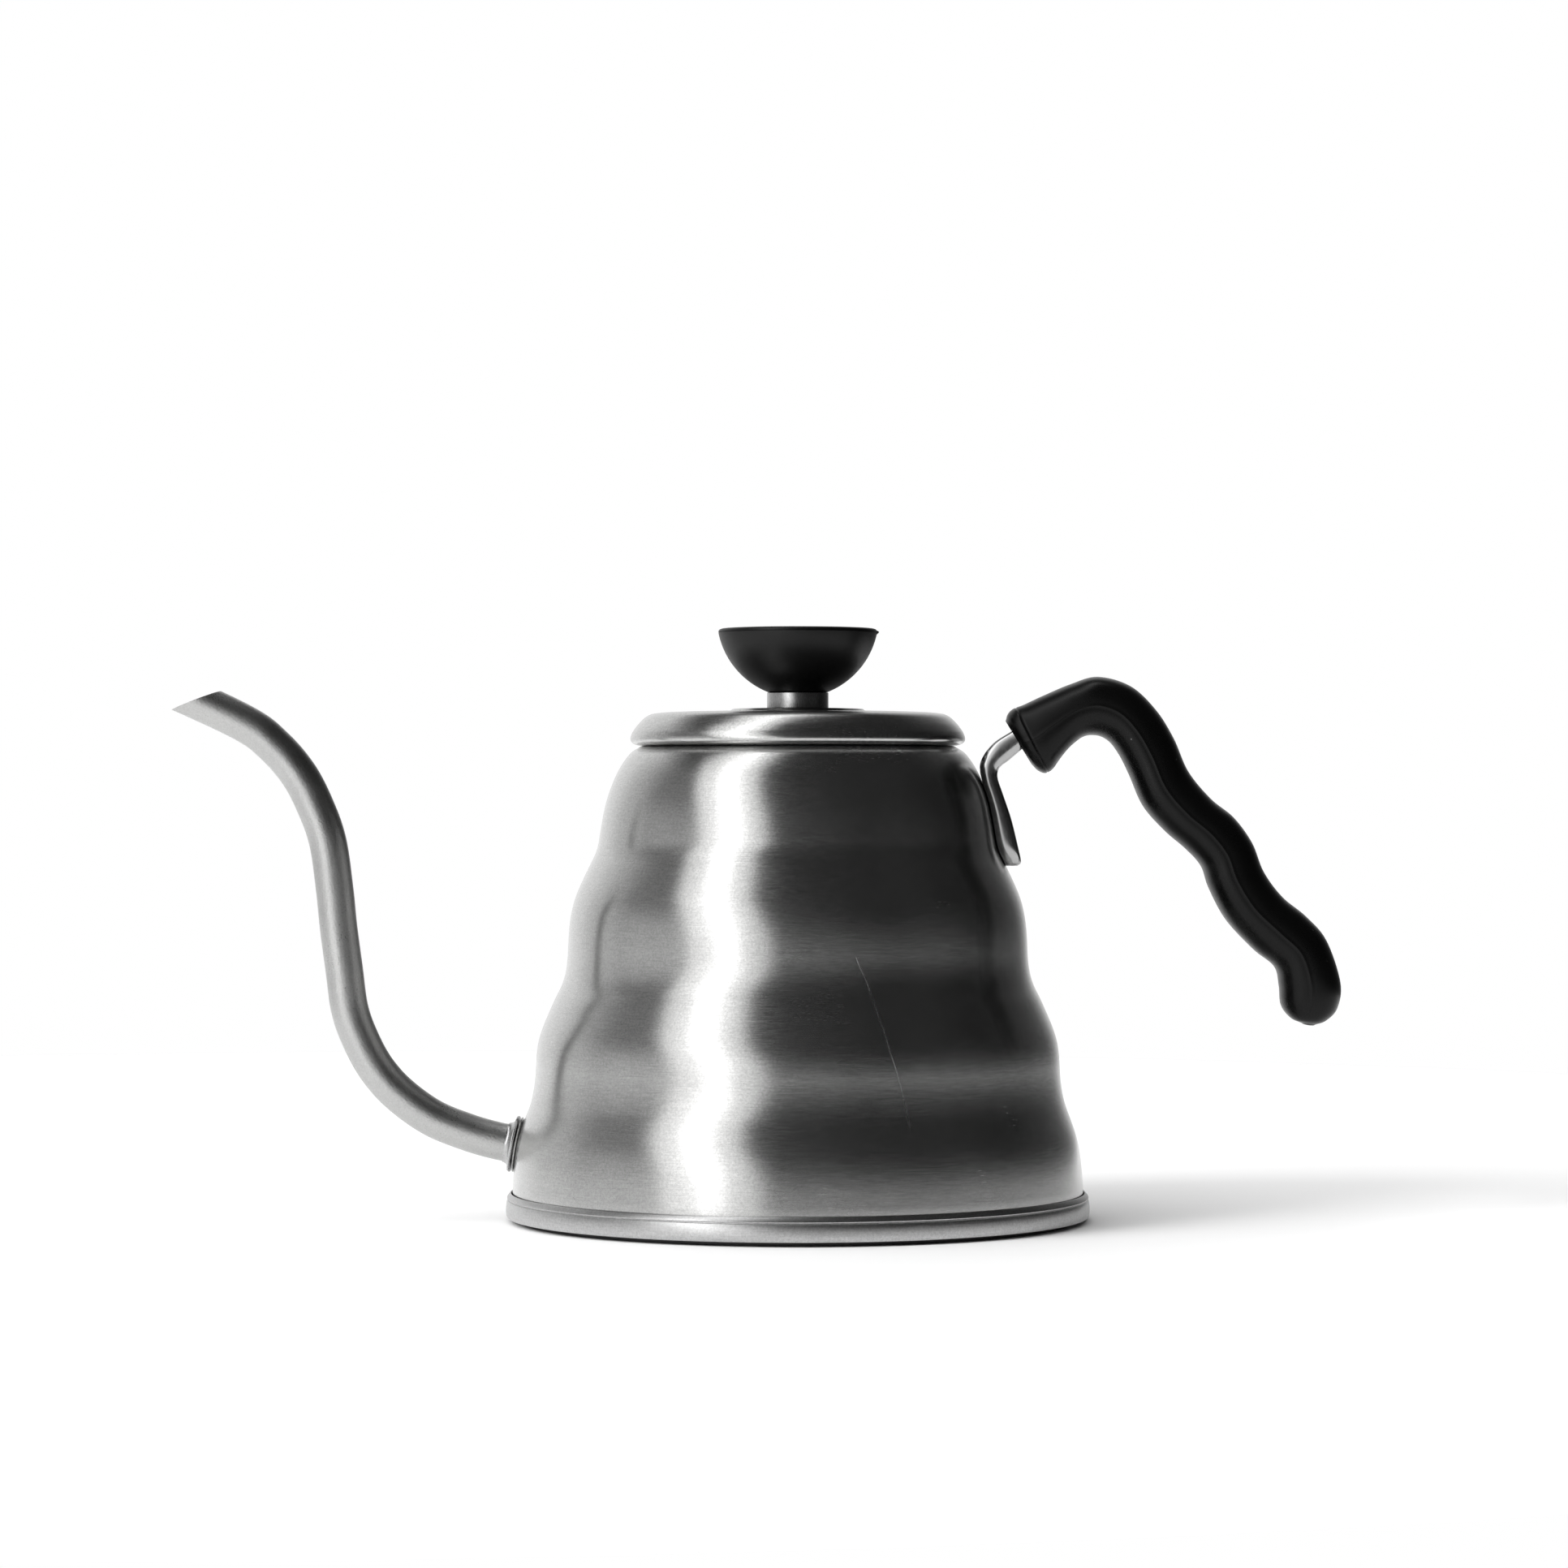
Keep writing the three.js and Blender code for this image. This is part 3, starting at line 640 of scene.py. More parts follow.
def brushed_steel(name, grey, roughness, anisotropy, stroke=(0.004, 0.00022), scratched=False):
    """Stainless steel brushed round the Z axis, with strokes of a length and a width."""
    material, tree, bsdf = new_material(name)
    fill(tree, bsdf, Metallic=1, Anisotropic=anisotropy, Anisotropic_Rotation=0.25)
    radial_tangent(tree, bsdf)
    strokes = noise(tree, 1, detail=2, roughness=0.7, vector=round_coordinates(tree, *stroke))
    grain = noise(tree, scale=1700, detail=3, roughness=0.9)
    clouds = noise(tree, scale=28, detail=3, roughness=0.6)
    marks = specks(tree, density=130, size=0.045, rarity=0.16)
    if scratched:
        marks = math_node(tree, "MAXIMUM", marks, long_scratch(tree))

    tone = mix_colour(tree, map_range(tree, strokes, NOISE, (0, 1)), *shades(grey, 0.93, 1.06))
    grained = add_node(tree, "VectorMath", tone)
    grained.operation = "SCALE"
    fill(tree, grained, Scale=map_range(tree, grain, (0.35, 0.65), (0.88, 1.1)))
    colour = mix_colour(tree, marks, grained.outputs[0], BARE_METAL)

    rough = map_range(tree, strokes, NOISE, (roughness - 0.02, roughness + 0.02))
    rough = plus(tree, rough, map_range(tree, clouds, NOISE, (-0.02, 0.02)))
    rough = plus(tree, rough, times(tree, marks, 0.3))
    fill(tree, bsdf, Base_Color=colour, Roughness=rough)
    relief = plus(tree, grain, times(tree, strokes, 0.15))
    bump(tree, bsdf, relief, distance=5.5e-6)
    return material


def satin_steel(name, grey, roughness, grain=0.0006, depth=2e-5):
    """Tumbled steel with a mottled grain of a size and a depth in metres."""
    material, tree, bsdf = new_material(name)
    fill(tree, bsdf, Metallic=1)
    grains = noise(tree, scale=1 / grain, detail=3, roughness=0.7)
    clouds = noise(tree, scale=90, detail=3, roughness=0.6)
    colour = mix_colour(tree, grains, *shades(grey, 0.75, 1.2))
    rough = map_range(tree, grains, NOISE, (roughness - 0.05, roughness + 0.06))
    rough = plus(tree, rough, map_range(tree, clouds, NOISE, (-0.04, 0.05)))
    fill(tree, bsdf, Base_Color=colour, Roughness=rough)
    bump(tree, bsdf, grains, depth)
    return material


def polished_steel(name, grey, roughness, wear_depth=2e-6):
    """Bright steel with faint clouds and fine wear."""
    material, tree, bsdf = new_material(name)
    fill(tree, bsdf, Metallic=1)
    wear = noise(tree, scale=700, detail=4, roughness=0.65)
    clouds = noise(tree, scale=60, detail=2)
    colour = mix_colour(tree, clouds, *shades(grey, 0.92, 1.05))
    rough = map_range(tree, wear, (0.3, 0.75), (roughness - 0.03, roughness + 0.07))
    fill(tree, bsdf, Base_Color=colour, Roughness=rough)
    bump(tree, bsdf, wear, wear_depth)
    return material


def moulded_plastic(name, grey, roughness, shine):
    """Black moulded plastic with a fine spark-eroded skin, faint smears and a little dust."""
    material, tree, bsdf = new_material(name)
    fill(tree, bsdf, Specular_IOR_Level=shine)
    skin = noise(tree, scale=4200, detail=2, roughness=0.6)
    smears = noise(tree, scale=60, detail=4, roughness=0.6)
    distance, _ = cells(tree, 190)
    speck = map_range(tree, distance, (0.02, 0.05), (1, 0))
    rare = noise(tree, scale=70, detail=1)
    dust = times(tree, speck, map_range(tree, rare, (0.6, 0.64), (0, 1)))
    colour = mix_colour(tree, dust, grey, DUST)
    rough = map_range(tree, smears, NOISE, (roughness - 0.04, roughness + 0.05))
    rough = plus(tree, rough, map_range(tree, skin, NOISE, (-0.03, 0.03)))
    fill(tree, bsdf, Base_Color=colour, Roughness=rough)
    bump(tree, bsdf, skin, distance=5e-6)
    return material


# ---------------- materials
STEEL = (0.6, 0.6, 0.595, 1)
GREY_STEEL = (0.5, 0.5, 0.5, 1)
BLACK = (0.003, 0.003, 0.003, 1)
BARE_METAL = (0.95, 0.95, 0.95, 1)  # where a speck or the scratch shows
DUST = (0.16, 0.16, 0.16, 1)

body_metal = brushed_steel("body_steel", STEEL, roughness=0.24, anisotropy=0.75, scratched=True)
lid_metal = brushed_steel("lid_steel", STEEL, roughness=0.24, anisotropy=0.6)
base_metal = brushed_steel("base_steel", (0.6, 0.6, 0.6, 1), roughness=0.34, anisotropy=0.3)
collar_metal = brushed_steel(
    "collar_steel", GREY_STEEL, roughness=0.26, anisotropy=0.1, stroke=(0.0004, 0.004)
)
spout_metal = satin_steel("spout_steel", STEEL, roughness=0.33, grain=0.0004, depth=9e-5)
inner_metal = satin_steel("inner_steel", GREY_STEEL, roughness=0.38)
# The foot disc's steel is painted near-black: painted shade for the recess under the base, not the steel's
# own colour.
painted_shade_foot_metal = satin_steel("foot_steel_painted_shade", (0.12, 0.12, 0.12, 1), roughness=0.5)
brass_metal = satin_steel("brass", (0.69, 0.55, 0.29, 1), roughness=0.35)
bright_metal = polished_steel("bright_steel", GREY_STEEL, roughness=0.17)
rim_metal = polished_steel("rim_steel", (0.62, 0.62, 0.62, 1), roughness=0.27, wear_depth=4e-7)
grip_plastic = moulded_plastic("grip_plastic", BLACK, roughness=0.3, shine=0.42)
knob_plastic = moulded_plastic("knob_plastic", BLACK, roughness=0.42, shine=0.7)


# ---------------- body
def body_shell():
    """The drawn body: outer wall, turned-in mouth, a coarser inner wall, and the neck for the spout."""
    step = 0.5
    coarser = 4
    bottom = WALL[0][1]
    top = WALL[-1][1]
    count = round((top - bottom) / step)
    outside = []
    for i in range(count + 1):
        z = bottom + (top - bottom) * i / count
        outside.append((wall_radius(z), z))
    turned_in = 2.6
    mouth = catmull_rom(
        [
            WALL[-1][:2],
            (MOUTH_RADIUS + 1.2, MOUTH_Z - 0.16),
            (MOUTH_RADIUS + 0.7, MOUTH_Z),
            (MOUTH_RADIUS + 0.25, MOUTH_Z - 0.15),
            (MOUTH_RADIUS, MOUTH_Z - 0.6),
        ],
        4,
    )[1:]
    edge = [
        (MOUTH_RADIUS, MOUTH_Z - turned_in),
        (MOUTH_RADIUS + SHEET, MOUTH_Z - turned_in),
        (MOUTH_RADIUS + SHEET, MOUTH_Z - turned_in / 2),
    ]
    inside = inset(outside, SHEET)[::-coarser]
    obj = turned("body_shell", [*outside, *mouth, *edge, *inside], body_metal)
    cut(obj, drill(SPOUT_BORE + 0.6, -8, 3, 64), spout_frame())
    join(obj, spout_neck())
    return obj


def wall_depth(radius, angle):
    """How far out along the spout's axis the body's wall lies, at a place round that axis."""
    cos, sin = math.cos(SPOUT_RISE), math.sin(SPOUT_RISE)
    low, high = -9, 4
    for _ in range(40):
        middle = (low + high) / 2
        x = SPOUT_ROOT[0] - cos * middle + sin * radius * math.cos(angle)
        z = SPOUT_ROOT[1] + sin * middle + cos * radius * math.cos(angle)
        y = radius * math.sin(angle)
        if math.hypot(x, y) < wall_radius(z):
            low = middle
        else:
            high = middle
    return middle


def neck_column(angle):
    """Line over the neck at one angle round the spout's axis, as radius and distance out from the seam."""
    edge, start, bend, middle = (
        (r, wall_depth(r, angle)) for r in (NECK_START + 0.5, NECK_START, 9.2, 7.7)
    )
    fillet = bezier(start, bend, (middle[0] - 0.9, middle[1] + 0.3), (NECK_ROOT, -NECK_LIP), 12)
    lip = catmull_rom(
        [
            (NECK_ROOT, -NECK_LIP),
            (NECK_ROOT + 0.42, -0.64),
            (NECK_ROOT + 0.62, -0.42),
            (NECK_ROOT + 0.5, -0.22),
            (NECK_ROOT + 0.2, -CLEARANCE / 2),
        ],
        3,
    )[1:]
    back = [
        (SPOUT_BORE, -CLEARANCE / 2),
        (SPOUT_BORE, -NECK_BACK),
        (SPOUT_LIP_RADIUS, -NECK_BACK),
        (edge[0] - 0.4, edge[1] - 0.55),
    ]
    return [(edge[0], edge[1] - 0.3), *fillet, *lip, *back]


def spout_neck():
    """The lip that is pulled out of the body's wall for the spout, with its fillet."""
    angles = angles_round(ROUND_SMALL)
    columns = [neck_column(a) for a in angles]
    rings = []
    for level in zip(*columns):
        rings.append([(r * math.cos(a), r * math.sin(a), out) for a, (r, out) in zip(angles, level)])
    points, faces = joined_grid(rings, closed=True)
    obj = make_solid("neck", points, faces, body_metal)
    obj.data.transform(spout_frame())
    return obj


def base_pan():
    """The seamed pan: floor of the vessel, upright band, groove and rolled bead."""
    floor_under = PAN_FLOOR - PAN_SHEET
    band_inside = FOOT_RADIUS + 0.4
    wall_inside = WALL[0][0] + CLEARANCE
    outside = [(BASE_RADIUS - inwards, z) for inwards, z in PAN_OUTSIDE]
    profile = [
        (0, floor_under),
        (band_inside - 0.6, floor_under),
        *arc((band_inside - 0.6, floor_under - 0.5), 0.5, 90, 20, 4),
        (band_inside + 0.25, BAND_BOTTOM + 0.12),
        (band_inside + 0.45, BAND_BOTTOM),
        *outside,
        (wall_inside, SEAM_TOP - 0.12),
        (wall_inside, PAN_FLOOR),
        (0, PAN_FLOOR),
    ]
    return turned("base_pan", profile, base_metal)


def base_disc():
    """The recessed foot disc that the kettle stands on; its steel is painted near-black as the shade of
    the recess.
    """
    chamfer = 0.3
    profile = [
        (0, 0),
        (FOOT_RADIUS - chamfer, 0),
        (FOOT_RADIUS - 0.08, 0.1),
        (FOOT_RADIUS, chamfer),
        (FOOT_RADIUS, FOOT_HEIGHT),
        (0, FOOT_HEIGHT),
    ]
    return turned("base_disc", profile, painted_shade_foot_metal)


# ---------------- spout
def spout_knots():
    """Knots of the tube's middle line, from inside the neck to beyond the mouth."""
    out = (-math.cos(SPOUT_RISE), math.sin(SPOUT_RISE))
    straight = [(SPOUT_ROOT[0] + s * out[0], SPOUT_ROOT[1] + s * out[1]) for s in SPOUT_STARTS]
    return [*straight, *SPOUT_LINE]


def spout_point(line, along, angle, radius):
    """Point at a place along the middle line and an angle round it."""
    last = len(line) - 1
    at = min(along, last - 1e-6)
    k = int(at)
    t = at - k
    x = line[k][0] + (line[k + 1][0] - line[k][0]) * t
    z = line[k][1] + (line[k + 1][1] - line[k][1]) * t
    before, after = line[max(k - 1, 0)], line[min(k + 2, last)]
    near = (line[k + 1][0] - before[0], line[k + 1][1] - before[1])
    far = (after[0] - line[k][0], after[1] - line[k][1])
    dx = near[0] * (1 - t) + far[0] * t
    dz = near[1] * (1 - t) + far[1] * t
    length = math.hypot(dx, dz)
    nx, nz = -dz / length, dx / length
    return (
        x + radius * math.cos(angle) * nx,
        radius * math.sin(angle),
        z + radius * math.cos(angle) * nz,
    )


def mouth_place(line, angle, radius, start):
    """Where the side of the tube at an angle meets the slanted cut."""
    middle = [(a + b) / 2 for a, b in zip(SPOUT_MOUTH_HIGH, SPOUT_MOUTH_LOW)]
    slant = [a - b for a, b in zip(SPOUT_MOUTH_HIGH, SPOUT_MOUTH_LOW)]
    low, high = start, len(line) - 1
    for _ in range(40):
        along = (low + high) / 2
        x, _, z = spout_point(line, along, angle, radius)
        if (z - middle[1]) * slant[0] - (x - middle[0]) * slant[1] < 0:
            low = along
        else:
            high = along
    return along


def tube_rings(line, radius, free_start):
    """Rings along the tube: square to its line at first, then spreading towards the slanted cut."""
    facets = 72
    spreading = 30
    angles = angles_round(facets)
    rings = [[spout_point(line, k, a, radius) for a in angles] for k in range(free_start)]
    ends = [mouth_place(line, a, radius, free_start) for a in angles]
    for k in range(spreading + 1):
        t = k / spreading
        places = [free_start + (end - free_start) * t for end in ends]
        rings.append([spout_point(line, p, a, radius) for p, a in zip(places, angles)])
    return rings


def spout_tube():
    """The bent tube, open at both ends, with its slanted mouth."""
    per_span = 16
    line = catmull_rom(spout_knots(), per_span)
    free_start = len(line) - 1 - 2 * per_span
    outer = tube_rings(line, SPOUT_RADIUS, free_start)
    inner = tube_rings(line, SPOUT_RADIUS - SPOUT_SHEET, free_start)
    points, faces = joined_grid([*outer, *inner[::-1]], closed=True)
    return make_solid("spout_tube", points, faces, spout_metal, 40)


def spout_collar():
    """Ring that grips the spout at the seam: a round bead and a fillet up to the tube."""
    rim = SPOUT_LIP_RADIUS
    bead, fillet = SPOUT_COLLAR_BEAD, SPOUT_COLLAR_FILLET
    profile = [
        (SPOUT_BORE, CLEARANCE / 2),
        (rim - 0.45, CLEARANCE / 2),
        *arc((rim - bead, CLEARANCE / 2 + 0.43), bead, -80, 75, 16),
        *arc((SPOUT_BORE + 0.05 + fillet, 0.98 + fillet), fillet, -92, -172, 20),
        (SPOUT_BORE + 0.06, SPOUT_COLLAR_LENGTH),
        (SPOUT_BORE, SPOUT_COLLAR_LENGTH),
    ]
    obj = turned("spout_collar", profile, rim_metal, ROUND_WIDE, 50)
    obj.data.transform(spout_frame())
    return obj


# ---------------- handle
def bar_ring(station):
    """Section of the bracket's bar, with round edges. Its inner face lies on the body at the weld."""
    ax, az, bx, bz, half = station
    steps = 12
    welded = min(1, max(0, (WELD_FREE - az) / (WELD_FREE - WELD_TOP)))
    near = []
    for i in range(steps + 1):
        angle = math.radians(-90 + 180 * i / steps)
        y = half - BRACKET_ROUNDING + BRACKET_ROUNDING * math.cos(angle) ** 0.8
        near.append((y, (1 + math.sin(angle)) / 2))
    far = [(-y, share) for y, share in near[::-1]]
    ring = []
    for y, share in [*near, (0, 1), *far, (0, 0)]:
        to_wall = 0
        if welded:
            to_wall = welded * (ax - math.sqrt((wall_radius(az) + WELD_GAP) ** 2 - y * y))
        ring.append((ax + (bx - ax) * share - to_wall * (1 - share), y, az + (bz - az) * share))
    return ring


def tang_station(distance):
    """Station of the bracket's line on the straight tang, at a distance from the screw."""
    cos, sin = math.cos(TANG_SLOPE), math.sin(TANG_SLOPE)
    x = SCREW_CROSSING[0] + distance * cos
    z = SCREW_CROSSING[1] + distance * sin
    half = TANG_THICKNESS / 2
    return (x - half * sin, z + half * cos, x + half * sin, z - half * cos, BRACKET_WIDTH / 2)


def handle_bracket():
    """The bent bar from the weld on the body up into the grip, with its screw hole."""
    stations = catmull_rom([*BRACKET_LINE, tang_station(-TANG_REACH), tang_station(TANG_REACH)], 9)
    obj = lofted("handle_bracket", [bar_ring(s) for s in stations], bright_metal, 50)
    cut(obj, drill(GRIP_SCREW["shank"] + CLEARANCE, -4, 4), tang_frame(), 50)
    return obj


def grip_ring(station, groove):
    """Section of the grip, a soft rectangle with a fine mould line on both sides."""
    ax, az, bx, bz, half = station
    centre = ((ax + bx) / 2, (az + bz) / 2)
    reach = (ax - centre[0], az - centre[1])
    shrink = 1 - groove / math.hypot(*reach)
    quarter = 22
    ring = []
    for i in range(4 * quarter):
        angle = math.pi / 2 * i / quarter
        u = soft_corner(math.cos(angle)) * shrink
        side = half * soft_corner(math.sin(angle)) * (1 - groove / half)
        ring.append((centre[0] + reach[0] * u, side, centre[1] + reach[1] * u))
    return add_mould_line(ring, quarter)


def soft_corner(value):
    """Bends a sine or cosine so that a circle becomes a soft square."""
    if abs(value) < 1e-9:
        return 0
    return math.copysign(abs(value) ** (2 / GRIP_SQUARENESS), value)


def add_mould_line(ring, quarter):
    """Raises the two side points of a ring a little, between close neighbours."""
    result = []
    for i, point in enumerate(ring):
        if i not in (quarter, 3 * quarter):
            result.append(point)
            continue
        here = Vector(point)
        before = (Vector(ring[i - 1]) - here).normalized()
        after = (Vector(ring[i + 1]) - here).normalized()
        sign = 1 if point[1] > 0 else -1
        result.append(tuple(here + before * MOULD_LINE_WIDTH))
        result.append((point[0], point[1] + sign * MOULD_LINE_PROUD, point[2]))
        result.append(tuple(here + after * MOULD_LINE_WIDTH))
    return result


def handle_grip():
    """The wavy grip, with the socket for the tang and the stepped hole for its screw."""
    per_span = 8
    stations = catmull_rom(GRIP_LINE, per_span)
    grooves = [0.0] * len(stations)
    lip_end = 2 * per_span + 2  # the ring where the front lip meets the rest of the grip
    grooves[lip_end] = GRIP_LIP_GROOVE
    grooves[lip_end - 1] = GRIP_LIP_GROOVE / 8
    grooves[lip_end + 1] = GRIP_LIP_GROOVE / 8
    rings = [grip_ring(s, g) for s, g in zip(stations, grooves)]
    rings.extend(closing_rings(rings[-1], (0.05, -0.35)))
    obj = lofted("handle_grip", rings, grip_plastic, 45)
    play = 0.5
    half_tall = TANG_THICKNESS / 2 + CLEARANCE + play / 2
    end = TANG_REACH + CLEARANCE
    wide = BRACKET_WIDTH + 2 * CLEARANCE
    socket = box_solid(end - GRIP_SOCKET, end, wide, -half_tall - play / 2, half_tall - play / 2)
    cut(obj, socket, tang_frame(), 45)
    seat = GRIP_SCREW_SEAT + 2 * FIXING_GAP + GRIP_WASHER_THICKNESS + CLEARANCE
    head = GRIP_SCREW["head"] + CLEARANCE
    shank = GRIP_SCREW["shank"] + CLEARANCE
    profile = [(0, -16), (head, -16), (head, seat), (shank, seat), (shank, 0), (0, 0)]
    cut(obj, turned("hole", profile, grip_plastic, ROUND_HOLE), tang_frame(), 45)
    return obj


def closing_rings(ring, direction):
    """Rings that shrink and move on a little, to round off the end of a loft."""
    centre = Vector([sum(p[axis] for p in ring) / len(ring) for axis in range(3)])
    rings = []
    for t in (0.35, 0.65, 0.88):
        scale = math.sqrt(1 - t * t)
        move = Vector((direction[0] * t, 0, direction[1] * t))
        rings.append([tuple(centre + (Vector(p) - centre) * scale + move) for p in ring])
    return rings


def box_solid(x0, x1, wide, z0, z1):
    """A plain box, centred in Y, to cut with."""
    corners = [(x, y, z) for x in (x0, x1) for y in (-wide / 2, wide / 2) for z in (z0, z1)]
    faces = [(0, 1, 3, 2), (4, 6, 7, 5), (0, 4, 5, 1), (2, 3, 7, 6), (0, 2, 6, 4), (1, 5, 7, 3)]
    return make_object("box", corners, faces, grip_plastic)


# ---------------- lid
def lid_cover():
    """The spun cover: boss, flat top, round shoulder and rolled hem, with a vent hole."""
    hole = LID_SCREW["shank"] + CLEARANCE
    profile = [
        (hole, BOSS_TOP),
        (BOSS_RADIUS - 1.6, BOSS_TOP),
        *catmull_rom(BOSS_EDGE, 4),
        *catmull_rom(LID_OUTSIDE, 6),
        (38.4, 0.45),
        *catmull_rom(LID_INSIDE, 4),
        (hole, BOSS_TOP - LID_SHEET),
    ]
    obj = turned("lid_cover", profile, lid_metal)
    cut(obj, drill(VENT_RADIUS, 0, 20, 32), Matrix.Translation((VENT_PLACE * MM, 0, 0)))
    return lift(obj, MOUTH_Z)


def lid_skirt():
    """The ring under the cover that drops into the mouth."""
    inside = SKIRT_RADIUS - LID_SHEET
    flange = 30
    profile = [
        (SKIRT_RADIUS - 0.15, -SKIRT_DEPTH),
        (SKIRT_RADIUS, -SKIRT_DEPTH + 0.15),
        (SKIRT_RADIUS, 4.6),
        (SKIRT_RADIUS - 0.1, 5.1),
        (SKIRT_RADIUS - 0.4, 5.6),
        (SKIRT_RADIUS - 0.9, 5.95),
        (SKIRT_RADIUS - 1.7, 6.2),
        (flange, 6.9),
        (flange, 6.3),
        (inside - 1.3, 5.6),
        (inside - 0.3, 5.1),
        (inside, 4.6),
        (inside, -SKIRT_DEPTH + 0.15),
        (inside + 0.15, -SKIRT_DEPTH),
    ]
    return lift(turned("lid_skirt", profile, base_metal), MOUTH_Z)


def knob_collar():
    """The short steel tube between the lid and the knob."""
    bore = LID_SCREW["shank"] + CLEARANCE
    bevel = 0.2
    flat = KNOB_COLLAR_RADIUS - bevel
    top = KNOB_COLLAR_HEIGHT
    profile = [
        (bore, FIXING_GAP),
        (flat, FIXING_GAP),
        *arc((flat, FIXING_GAP + bevel), bevel, -60, 0, 2),
        *arc((flat, top - bevel), bevel, 0, 60, 2),
        (flat, top),
        (bore, top),
    ]
    return lift(turned("knob_collar", profile, collar_metal, ROUND_COLLAR), KNOB_BASE)


def knob():
    """The cup-shaped knob: part of a sphere, a fine seam, a round rim and a slightly dished top."""
    bottom = KNOB_COLLAR_HEIGHT + FIXING_GAP
    start = math.degrees(math.acos((KNOB_SPHERE_Z - bottom) / KNOB_SPHERE)) - 90
    end = math.degrees(math.acos((KNOB_SPHERE_Z - KNOB_RIM_Z) / KNOB_SPHERE)) - 90
    bowl = arc((0, KNOB_SPHERE_Z), KNOB_SPHERE, start, end, 40)
    rim = bowl[-1][0]
    pocket = INSERT_RADIUS + CLEARANCE
    seam = [
        (rim - 0.12, KNOB_RIM_Z + 0.05),
        (rim - 0.12, KNOB_RIM_Z + 0.12),
        (rim + 0.02, KNOB_RIM_Z + 0.18),
    ]
    shoulder = catmull_rom(
        [
            (rim, KNOB_RIM_Z + 0.3),
            (rim - 0.15, KNOB_RIM_Z + 0.62),
            (rim - 0.55, KNOB_TOP_Z - 0.12),
            (rim - 1.2, KNOB_TOP_Z),
            (rim - 2, KNOB_TOP_Z - 0.08),
            (rim - 4, KNOB_TOP_Z - 0.25),
            (rim - 9, KNOB_TOP_Z - 0.4),
        ],
        5,
    )
    profile = [
        (0, INSERT_TOP + CLEARANCE),
        (pocket, INSERT_TOP + CLEARANCE),
        (pocket, bottom),
        *bowl,
        *seam,
        *shoulder,
        (0, KNOB_TOP_Z - 0.45),
    ]
    obj = turned("knob", profile, knob_plastic, ROUND_KNOB)
    add_nib(obj, rim, KNOB_RIM_Z)
    return lift(obj, KNOB_BASE)


def add_nib(obj, radius, height):
    """The small nib that moulding leaves on the rim."""
    spread = 0.42
    proud = 0.5
    for vertex in obj.data.vertices:
        x, y, z = (c / MM for c in vertex.co)
        if x < radius - 1:
            continue
        distance = math.hypot(y, (z - height) * 1.1) / spread
        vertex.co.x += proud * MM * math.exp(-(distance**4))


def knob_fixings():
    """Washer and screw that hold the knob from under the lid."""
    top = LID_WASHER["thickness"]
    washer_z = MOUTH_Z + BOSS_TOP - LID_SHEET - FIXING_GAP - top
    bore = LID_SCREW["shank"] + CLEARANCE
    radius = LID_WASHER["radius"]
    edge = 0.12
    profile = [
        (bore, edge),
        (bore + edge, 0),
        (radius - edge, 0),
        (radius, edge),
        (radius, top - edge),
        (radius - edge, top),
        (bore + edge, top),
        (bore, top - edge),
    ]
    washer = lift(turned("knob_washer", profile, inner_metal, ROUND_SMALL), washer_z)
    return washer, lift(pan_screw("knob_screw", LID_SCREW), washer_z - FIXING_GAP)


def pan_screw(name, size):
    """Pan-head screw with its head below height 0, and a cross recess."""
    head, height, shank, length = size["head"], size["head_height"], size["shank"], size["length"]
    dome = catmull_rom(
        [
            (head * 0.6, -height),
            (head * 0.8, -height * 0.86),
            (head * 0.94, -height * 0.55),
            (head, -height * 0.2),
            (head - 0.05, 0),
        ],
        4,
    )
    profile = [(0, -height), *dome, (shank, 0), (shank, length - 0.6), (shank - 0.5, length), (0, length)]
    obj = turned(name, profile, inner_metal, 64)
    deep = height * 0.5
    long, wide = head * 0.55, head * 0.26
    for turn in (0, math.pi / 2):
        slot = box_solid(-long, long, wide, -height - deep, -height + deep)
        cut(obj, slot, Matrix.Rotation(turn, 4, "Z"))
    return obj


# ---------------- pieces
place(body_shell(), "kettle", "brushed_body", "body_shell")
place(base_pan(), "kettle", "satin_base", "base_pan")
place(base_disc(), "kettle", "foot_disc", "base_disc")
place(spout_tube(), "kettle", "satin_spout", "spout_tube")
place(spout_collar(), "kettle", "polished_steel", "spout_collar")
place(handle_bracket(), "kettle", "polished_steel", "handle_bracket")
place(handle_grip(), "kettle", "black_grip", "handle_grip")
place(lid_cover(), "lid", "brushed_lid", "lid_cover")
place(lid_skirt(), "lid", "satin_base", "lid_skirt")
place(knob_collar(), "lid", "collar_steel", "knob_collar")
place(knob(), "lid", "black_knob", "knob")
washer_piece, screw_piece = knob_fixings()
place(washer_piece, "lid", "plain_steel", "knob_washer")
place(screw_piece, "lid", "plain_steel", "knob_screw")

for node_name, metal in (
    ("grip_screw", inner_metal),
    ("grip_washer", inner_metal),
    ("grip_nut", inner_metal),
    ("knob_insert", brass_metal),
):
    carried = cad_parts[node_name]
    carried.data.materials.clear()
    carried.data.materials.append(metal)


# ---------------- stage, light and camera
FLOOR_RADIUS = 620
FLOOR_CENTRE = (-120, 100)
FLOOR_GREYS = ((0.9, 0.9, 0.9, 1), (0.92, 0.92, 0.92, 1))


